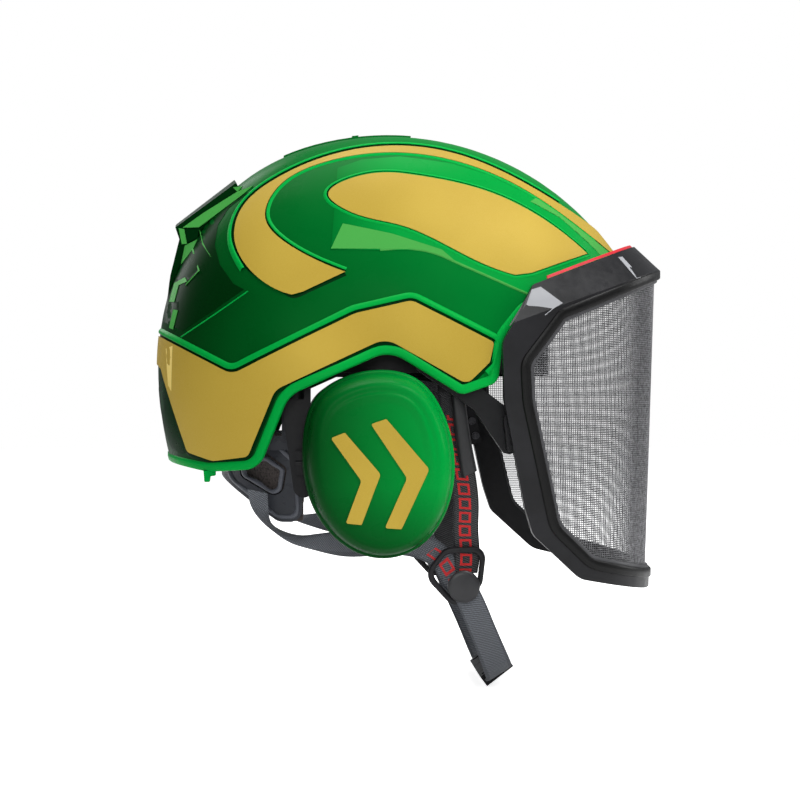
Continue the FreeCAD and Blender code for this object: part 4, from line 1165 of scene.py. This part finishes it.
# ---------------------------------------------------------------- the straps

FRONT_STRAP = [
    ((22.5, -72, -23.5), (37, -72, -26)),
    ((26.5, -72, -60), (41.5, -72, -62)),
    ((32, -69.5, -98), (47, -69.5, -98)),
    ((32.6, -63.4, -115), (47.6, -63.4, -115)),
    ((33.4, -63.0, -128), (48.4, -63.0, -128)),
    ((33.6, -63.0, -138), (47.0, -63.0, -138)),
]
SLEEVE = [
    ((30.4, -73.9, -33), (38.4, -73.9, -34)),
    ((33, -74, -60), (42, -74, -61)),
    ((36.5, -72.9, -82), (45.5, -72.4, -78)),
]
REAR_STRAP = [
    ((-85.3, -74, -88.0), (-74.1, -73, -90.5)),
    ((-84.1, -74, -95.5), (-73.6, -73, -99.0)),
    ((-80.2, -77, -102.3), (-71.6, -69, -108.5)),
    ((-71.4, -78.5, -110.7), (-64.5, -67, -113.2)),
    ((-61.3, -76, -118.1), (-55.7, -69, -114.9)),
    ((-48.6, -72, -122.8), (-42.5, -70, -113.4)),
    ((-30.0, -67, -127.4), (-28.0, -67, -112.9)),
    ((4, -62, -127.6), (8, -62, -113.2)),
    ((20.5, -62.4, -134.5), (30.5, -62.4, -124.0)),
    ((28.5, -63, -146.5), (40, -63, -137)),
    ((33, -64, -151), (45, -64, -142)),
]
CHIN_STRAP = [
    ((30.5, -68.2, -146.5), (44, -68.2, -140.5)),
    ((35.2, -67.4, -156.4), (49.8, -67.4, -151.4)),
    ((40.9, -63, -169.3), (55.6, -63, -164.3)),
    ((48.0, -54, -185.8), (62.6, -54, -179.3)),
    ((53.5, -45, -200.0), (68.5, -45, -191.5)),
    ((56.0, -36, -206.5), (71.0, -36, -197.0)),
]
SOCKET_END = ((55.6, -29, -206.8), (70.6, -29, -197.2))
TONGUE_END = ((55.6, -21.5, -206.8), (70.6, -21.5, -197.2))
DIVIDER_OUTER = [(27.5, -122.8, 9), (52.2, -122, 7), (49.6, -145, 10), (33.5, -158.5, 7), (15, -138.5, 9)]
DIVIDER_INNER = [(28.6, -126.4, 6), (48.6, -125.8, 4.5), (46.4, -143, 7), (34, -153.6, 5), (19.5, -138, 6)]


INNER_FACE = 1000.0
BAND_DEPTH = 1.5
SLEEVE_DEPTH = 2.4


def ribbon(name, sections, side, depth, finish, body, slot, stands_for=None, per_run=8, camber=0.0):
    """A strap through sections, each the middles of its two edges, with rounded selvedges."""
    parts = per_run * (len(sections) - 1)
    edges = []
    for k in (0, 1):
        spots = [(s[k][0], -side * s[k][1], s[k][2]) for s in sections]
        line = smooth_through(spots, 1.0)
        last = len(line) - 1
        edges.append([line[min(round(i * last / parts), last)] for i in range(parts + 1)])
    widthwise = 10
    points, strip = [], []
    gone = 0.0
    middles = [(a + b) / 2 for a, b in zip(*edges)]
    for i, (rear, front) in enumerate(zip(*edges)):
        run = middles[min(i + 1, parts)] - middles[max(i - 1, 0)]
        out = run.cross(front - rear).normalized() * -side
        if i:
            gone += (middles[i] - middles[i - 1]).length
        width = (front - rear).length
        for layer in (1, -1):
            for c in range(widthwise + 1):
                u = c / widthwise if layer > 0 else 1 - c / widthwise
                edge = 1 - abs(2 * u - 1) ** 8
                lift = layer * depth / 2 * (0.35 + 0.65 * edge) + camber * (1 - (2 * u - 1) ** 2)
                points.append(rear.lerp(front, u) + out * lift)
                strip.append((width * (u - 0.5), gone if layer > 0 else gone - INNER_FACE))
    per = 2 * (widthwise + 1)
    faces = grid_faces(parts + 1, per, close_columns=True)
    faces += [tuple(range(per))[::-1], tuple(range(parts * per, (parts + 1) * per))]
    mesh_points = [Vector(p) * MM for p in points]
    mesh = bpy.data.meshes.new(name)
    mesh.from_pydata(mesh_points, [], faces)
    layer = mesh.uv_layers.new(name="strip")
    for loop in mesh.loops:
        layer.data[loop.index].uv = strip[loop.vertex_index]
    mesh.materials.append(finish)
    work = bmesh.new()
    work.from_mesh(mesh)
    bmesh.ops.recalc_face_normals(work, faces=work.faces)
    work.to_mesh(mesh)
    work.free()
    mesh.shade_smooth()
    mesh.set_sharp_from_angle(angle=math.radians(50))
    thing = bpy.data.objects.new(name, mesh)
    bpy.context.scene.collection.objects.link(thing)
    if stands_for:
        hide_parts(stands_for)
    if isinstance(body, str):
        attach(thing, body)
    return thing


def make_straps():
    """The webbing on both sides; the left chin strap follows the buckle's tongue at its end."""
    black = (BAND_BLACK, "helmet", "webbing_black")
    sleeve = (SLEEVE_GREY, "helmet", "webbing_black")
    grey = (BAND_GREY, "helmet", "webbing_grey")
    for name, side in SIDES.items():
        ribbon(f"front_band_{name}", FRONT_STRAP, side, BAND_DEPTH, *black, f"front_strap_{name}")
        ribbon(f"sleeve_{name}", SLEEVE, side, SLEEVE_DEPTH, *sleeve, f"strap_sleeve_{name}", camber=0.5)
        ribbon(f"rear_band_{name}", REAR_STRAP, side, BAND_DEPTH, *grey, f"rear_strap_{name}")
    ribbon("chin_band_right", CHIN_STRAP + [SOCKET_END], -1, BAND_DEPTH, *grey, "chin_strap_right")
    loose = (BAND_GREY, None, "webbing_grey")
    left = ribbon("chin_band_left", CHIN_STRAP + [TONGUE_END], 1, BAND_DEPTH, *loose, "chin_strap_left")
    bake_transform(left)


def loop_spots(corners, centre, count):
    """Places on a rounded outline at even turns round its centre."""
    line = rounded(corners, 1.0)
    turns = [math.atan2(p.y - centre.y, p.x - centre.x) for p in line]
    reach = [(p - centre).length for p in line]
    order = np.argsort(turns)
    turns = np.array(turns)[order]
    reach = np.array(reach)[order]
    spots = []
    for k in range(count):
        turn = -math.pi + 2 * math.pi * k / count
        radius = np.interp(turn, turns, reach, period=2 * math.pi)
        spots.append(centre + Vector((math.cos(turn), math.sin(turn))) * radius)
    return spots


DIVIDER_CENTRE = Vector((34.5, -138.5))
DIVIDER_SIDE = 65.6
DIVIDER_HALF_DEPTH = 1.7
DIVIDER_SQUARENESS = 0.6
BUTTON_CENTRE = Vector((38.2, 0, -144.8))
BUTTON_PROFILE = [(0.0, 72.4), (6.6, 72.3), (8.4, 72.0), (9.2, 71.4)]
BUTTON_PROFILE += [(9.4, 70.4), (9.1, 69.0), (8.0, 67.9), (0.0, 67.9)]


def make_divider(name, side):
    """The ring that joins the straps, with a rounded section, and its button."""
    count = 96
    outer = loop_spots(DIVIDER_OUTER, DIVIDER_CENTRE, count)
    inner = loop_spots(DIVIDER_INNER, DIVIDER_CENTRE, count)
    around = 12
    points = []
    for a, b in zip(outer, inner):
        for k in range(around):
            turn = 2 * math.pi * k / around
            over = math.copysign(abs(math.cos(turn)) ** DIVIDER_SQUARENESS, math.cos(turn))
            out = math.copysign(abs(math.sin(turn)) ** DIVIDER_SQUARENESS, math.sin(turn))
            spot = a.lerp(b, 0.5 - 0.5 * over)
            y = side * (DIVIDER_SIDE + DIVIDER_HALF_DEPTH * out)
            points.append(Vector((spot.x, y, spot.y)))
    faces = grid_faces(count, around, close_rows=True, close_columns=True)
    ring = build(f"divider_ring_{name}", points, faces, VISOR_BLACK, "helmet", 60)
    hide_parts(f"strap_divider_{name}")
    turns = 56
    points = []
    for radius, y in BUTTON_PROFILE:
        for k in range(turns):
            turn = 2 * math.pi * k / turns
            spoke = Vector((radius * math.cos(turn), side * y, radius * math.sin(turn)))
            points.append(BUTTON_CENTRE + spoke)
    faces = grid_faces(len(BUTTON_PROFILE), turns, close_columns=True)
    button = build(f"divider_disc_{name}", points, faces, SLEEVE_GREY, "helmet", 35)
    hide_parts(f"divider_button_{name}")


# ---------------------------------------------------------------- the shell's rear

HOOD_REAR_X = -134.0
HOOD_REAR_HALF = 27.0
HOOD_SPREAD = 23.0 / 74.0
# Pale facets on the hood's side wall: painted highlights.
HOOD_FACET_HIGHLIGHTS = {
    "top": [(-83.2, 88.4), (-90.8, 82.0), (-115.7, 65.2), (-125.4, 65.3), (-112.8, 73.7), (-92.0, 85.8)],
    "corner": [(-127.9, 65.0), (-124.7, 64.5), (-123.0, 55.7), (-126.0, 55.4)],
    "wedge": [(-124.2, 54.5), (-116.2, 57.5), (-118.5, 51.9), (-126.3, 43.4)],
    "bend": [(-130.3, 31.9), (-122.7, 34.1), (-121.0, 31.3), (-126.7, 29.8), (-129.2, 19.8), (-133.0, 20.7)],
    "foot": [(-129.5, 15.4), (-126.3, 14.6), (-129.2, 3.5), (-132.0, 4.7)],
    "sliver": [(-115.3, 63.4), (-112.4, 54.6), (-106.8, 44.9), (-112.4, 53.2)],
    "peak": [(-95.2, 88.2), (-89.6, 88.5), (-92.4, 85.4)],
}
# Bright edges of the louvre: painted highlights.
HOOD_EDGE_HIGHLIGHTS = {
    "upper": [(-118.5, 51.9), (-113.3, 37.1), (-113.8, 36.3), (-119.3, 51.5)],
    "lower": [(-113.3, 37.1), (-121.8, 28.9), (-121.4, 30.0), (-114.2, 36.9)],
}
# Dark patches in the hood's mouth, louvre and gap: painted shade.
HOOD_SHADE_OUTLINES = {
    "mouth": [(-124.2, 64.5), (-115.9, 64.6), (-116.3, 58.4), (-122.7, 56.2)],
    "louvre": [(-119.0, 50.8), (-114.2, 36.9), (-121.2, 31.5), (-129.0, 33.0)],
    "gap": [(-133.5, 19.3), (-126.6, 19.6), (-126.4, 15.4), (-134.5, 14.0)],
}
# Dark patches round the louvres and at the rear of the wing: painted shade.
REAR_SHADE_OUTLINE = [(-86, 84), (-97.5, 75), (-103.5, 64.5), (-104.8, 51.7), (-101.2, 39.5), (-93, 27.8)]
REAR_SHADE_OUTLINE += [(-87, 24.4), (-103.4, 13.4), (-123, 2), (-137, 9), (-134, 40), (-128, 62), (-104, 82)]
WING_SHADE_OUTLINE = [(-138.1, -19.5), (-134.1, -23.5), (-128.4, -41), (-119.4, -67.0), (-123.5, -69), (-131, -66)]
WING_SHADE_OUTLINE += [(-136.3, -56.7), (-139.5, -42), (-140.6, -31)]
# Outline of the lighter gold strip on the wing: a painted highlight.
GOLD_GLINT = [(-133.2, -7.6), (-128.6, -6.4), (-129.4, -32.5), (-131.6, -29.0)]


def rear_place(x, z, side, lift):
    """A place on the hood's side wall, or on the dome where that stands further out."""
    wall = HOOD_REAR_HALF + (x - HOOD_REAR_X) * HOOD_SPREAD
    skin = over_dome(x, z, side)
    y = max(wall, abs(skin.y))
    return Vector((x - 0.3 * lift, side * (y + 0.95 * lift), z))


def rear_facet(name, outline, side, lift, finish):
    """A flat facet on the hood's side wall."""
    points = [rear_place(x, z, side, -0.5) for x, z in outline]
    points += [rear_place(x, z, side, lift) for x, z in outline]
    return build(name, points, facet_faces(len(outline)), finish, "helmet", 30)


def make_rear_details():
    """Painted light at the rear: dark patches of painted shade round the louvres and in the hood's openings,
    painted highlights on the hood's facets and louvre edges, and the glint on the wing, a painted highlight.
    """
    for name, side in SIDES.items():
        dome_patch(f"rear_shade_patch_{name}", REAR_SHADE_OUTLINE, side, 0.22, RECESS_SHADE_GREEN)
        dome_patch(f"wing_shade_patch_{name}", WING_SHADE_OUTLINE, side, 0.3, RECESS_SHADE_GREEN)
        glint = dome_patch(f"wing_glint_{name}", GOLD_GLINT, side, 0.95, GOLD_PAINTED_GLINT)
        for part, outline in HOOD_FACET_HIGHLIGHTS.items():
            rear_facet(f"hood_{part}_{name}", outline, side, 0.8, HIGHLIGHT_GREEN)
        for part, outline in HOOD_EDGE_HIGHLIGHTS.items():
            rear_facet(f"louvre_{part}_{name}", outline, side, 1.0, HIGHLIGHT_GREEN)
        for part, outline in HOOD_SHADE_OUTLINES.items():
            rear_facet(f"hollow_{part}_{name}", outline, side, 0.45, GROOVE_SHADE_GREEN)


# ---------------------------------------------------------------- the nape cradle

CRADLE_EDGE = [(-56, -73.5, 3), (-70, -60, 8), (-98, -60, 4), (-101, -74, 6)]
CRADLE_EDGE += [(-97, -84, 14), (-68, -105.3, 6)]
CRADLE_EDGE += [(-56, -105.3, 5)]
CRADLE_RIDGE = [(0.0, -0.2), (0.3, 0.7), (0.9, 1.1), (1.9, 1.1), (2.6, 0.7), (3.0, -0.2)]
CRADLE_HOLE = [(-64, -77, 3), (-75, -69, 4), (-91, -73, 5), (-89, -81.5, 4), (-67, -94, 5)]


def on_nape(x, z, side, lift):
    """A place on the nape cradle's outer wall."""
    share = min(max((NAPE_MIDDLE - x) / NAPE_REACH, 0.0), 0.9999)
    y = NAPE_HALF * (1 - share**NAPE_POWER) ** (1 / NAPE_POWER)
    ahead = share ** (NAPE_POWER - 1) / NAPE_REACH
    out = (y / NAPE_HALF) ** (NAPE_POWER - 1) / NAPE_HALF
    normal = Vector((-ahead, side * out, 0)).normalized()
    return Vector((x, side * y, z)) + normal * lift


def make_cradle_ridges():
    """Rounded ridges round the cradle's edge and its opening, painted lighter than the cradle as a painted
    highlight.
    """
    for name, side in SIDES.items():
        for part, corners in (("edge", CRADLE_EDGE), ("hole", CRADLE_HOLE)):
            line = rounded(corners, 2.0)
            centre = sum(line, Vector((0, 0))) / len(line)
            points = []
            for spot in line:
                inward = (centre - spot).normalized()
                points += [
                    on_nape(spot.x + inward.x * away, spot.y + inward.y * away, side, lift)
                    for away, lift in CRADLE_RIDGE
                ]
            faces = grid_faces(len(line), len(CRADLE_RIDGE), close_rows=True)
            build(f"cradle_{part}_{name}", points, faces, NAPE_EDGE_HIGHLIGHT, "nape", 60)


def make_all():
    """Every piece that is drawn over the nodes."""
    make_rear_details()
    make_cradle_ridges()
    for name, side in SIDES.items():
        make_divider(name, side)
    make_shell_mouldings()
    make_shell_facets()
    make_visor_pieces()
    for name, side in SIDES.items():
        make_cup(name, side)
        make_ear_cushion(name, side)
        make_cup_foam(name, side)
    make_brow_pad()
    make_nape_pad()
    make_crown_pads()
    make_straps()


dress_nodes()
make_all()

# ---------------------------------------------------------------- light, floor and camera


def make_setting():
    """A pale floor, three soft boxes and an even white surround."""
    low = min(cad_box[0].z, cad_box[1].z)
    bpy.ops.mesh.primitive_plane_add(size=8.0, location=(0, 0, low - 0.001))
    floor = bpy.context.object
    floor.name = "floor"
    s = Shader("floor_white", Roughness=0.7, Specular_IOR_Level=0.1)
    s.colour(s.mix(s.ramp(s.noise(3.0), 0.3, 0.7), (0.90, 0.90, 0.90), (0.93, 0.93, 0.93)))
    path = s.node("ShaderNodeLightPath")
    s.main.inputs["Emission Color"].default_value = (1, 1, 1, 1)
    s.link(s.math("MULTIPLY", path.outputs["Is Camera Ray"], 0.75), s.main.inputs["Emission Strength"])
    floor.data.materials.append(s.material)
    for name, place, aim, size, power in (
        ("key", (0.75, -0.75, 1.25), (0.02, 0, 0.02), (0.9, 0.7), 22.0),
        ("top", (-0.15, 0.15, 1.5), (0, 0, 0), (1.1, 0.9), 17.0),
        ("front", (1.3, 0.2, 0.5), (0.05, 0, -0.05), (0.5, 0.9), 6.0),
        ("side", (-0.25, -1.5, 0.45), (0, 0, -0.04), (0.9, 0.6), 7.0),
        ("back", (-0.9, 1.1, 0.8), (0, 0, -0.03), (0.9, 0.9), 8.0),
    ):
        lamp = bpy.data.lights.new(name, "AREA")
        lamp.shape = "RECTANGLE"
        lamp.size, lamp.size_y = size
        lamp.energy = power
        thing = bpy.data.objects.new(name, lamp)
        thing.location = place
        thing.rotation_euler = (Vector(aim) - Vector(place)).to_track_quat("-Z", "Y").to_euler()
        bpy.context.scene.collection.objects.link(thing)
    world = bpy.data.worlds.new("surround")
    bpy.context.scene.world = world
    world.use_nodes = True
    tree = world.node_tree
    tree.nodes.clear()
    seen = tree.nodes.new("ShaderNodeBackground")
    seen.inputs["Color"].default_value = (1, 1, 1, 1)
    seen.inputs["Strength"].default_value = 1.0
    lit = tree.nodes.new("ShaderNodeBackground")
    lit.inputs["Color"].default_value = (0.95, 0.97, 1.0, 1)
    lit.inputs["Strength"].default_value = 0.28
    path = tree.nodes.new("ShaderNodeLightPath")
    mix = tree.nodes.new("ShaderNodeMixShader")
    out = tree.nodes.new("ShaderNodeOutputWorld")
    tree.links.new(path.outputs["Is Camera Ray"], mix.inputs[0])
    tree.links.new(lit.outputs[0], mix.inputs[1])
    tree.links.new(seen.outputs[0], mix.inputs[2])
    tree.links.new(mix.outputs[0], out.inputs[0])
    bpy.context.scene.view_settings.view_transform = "Standard"


def make_camera():
    """The camera, level and a little towards the rear of the right side."""
    data = bpy.data.cameras.new("camera")
    data.lens = 61.2
    data.sensor_width = 36.0
    data.clip_start = 0.01
    camera = bpy.data.objects.new("camera", data)
    target = Vector((0.00625, 0, -0.0375))
    yaw = math.radians(-3.9)
    ahead = Vector((-math.sin(yaw), math.cos(yaw), 0))
    camera.location = target - ahead * 0.85
    camera.rotation_euler = ahead.to_track_quat("-Z", "Y").to_euler()
    bpy.context.scene.collection.objects.link(camera)
    bpy.context.scene.camera = camera


make_setting()
make_camera()
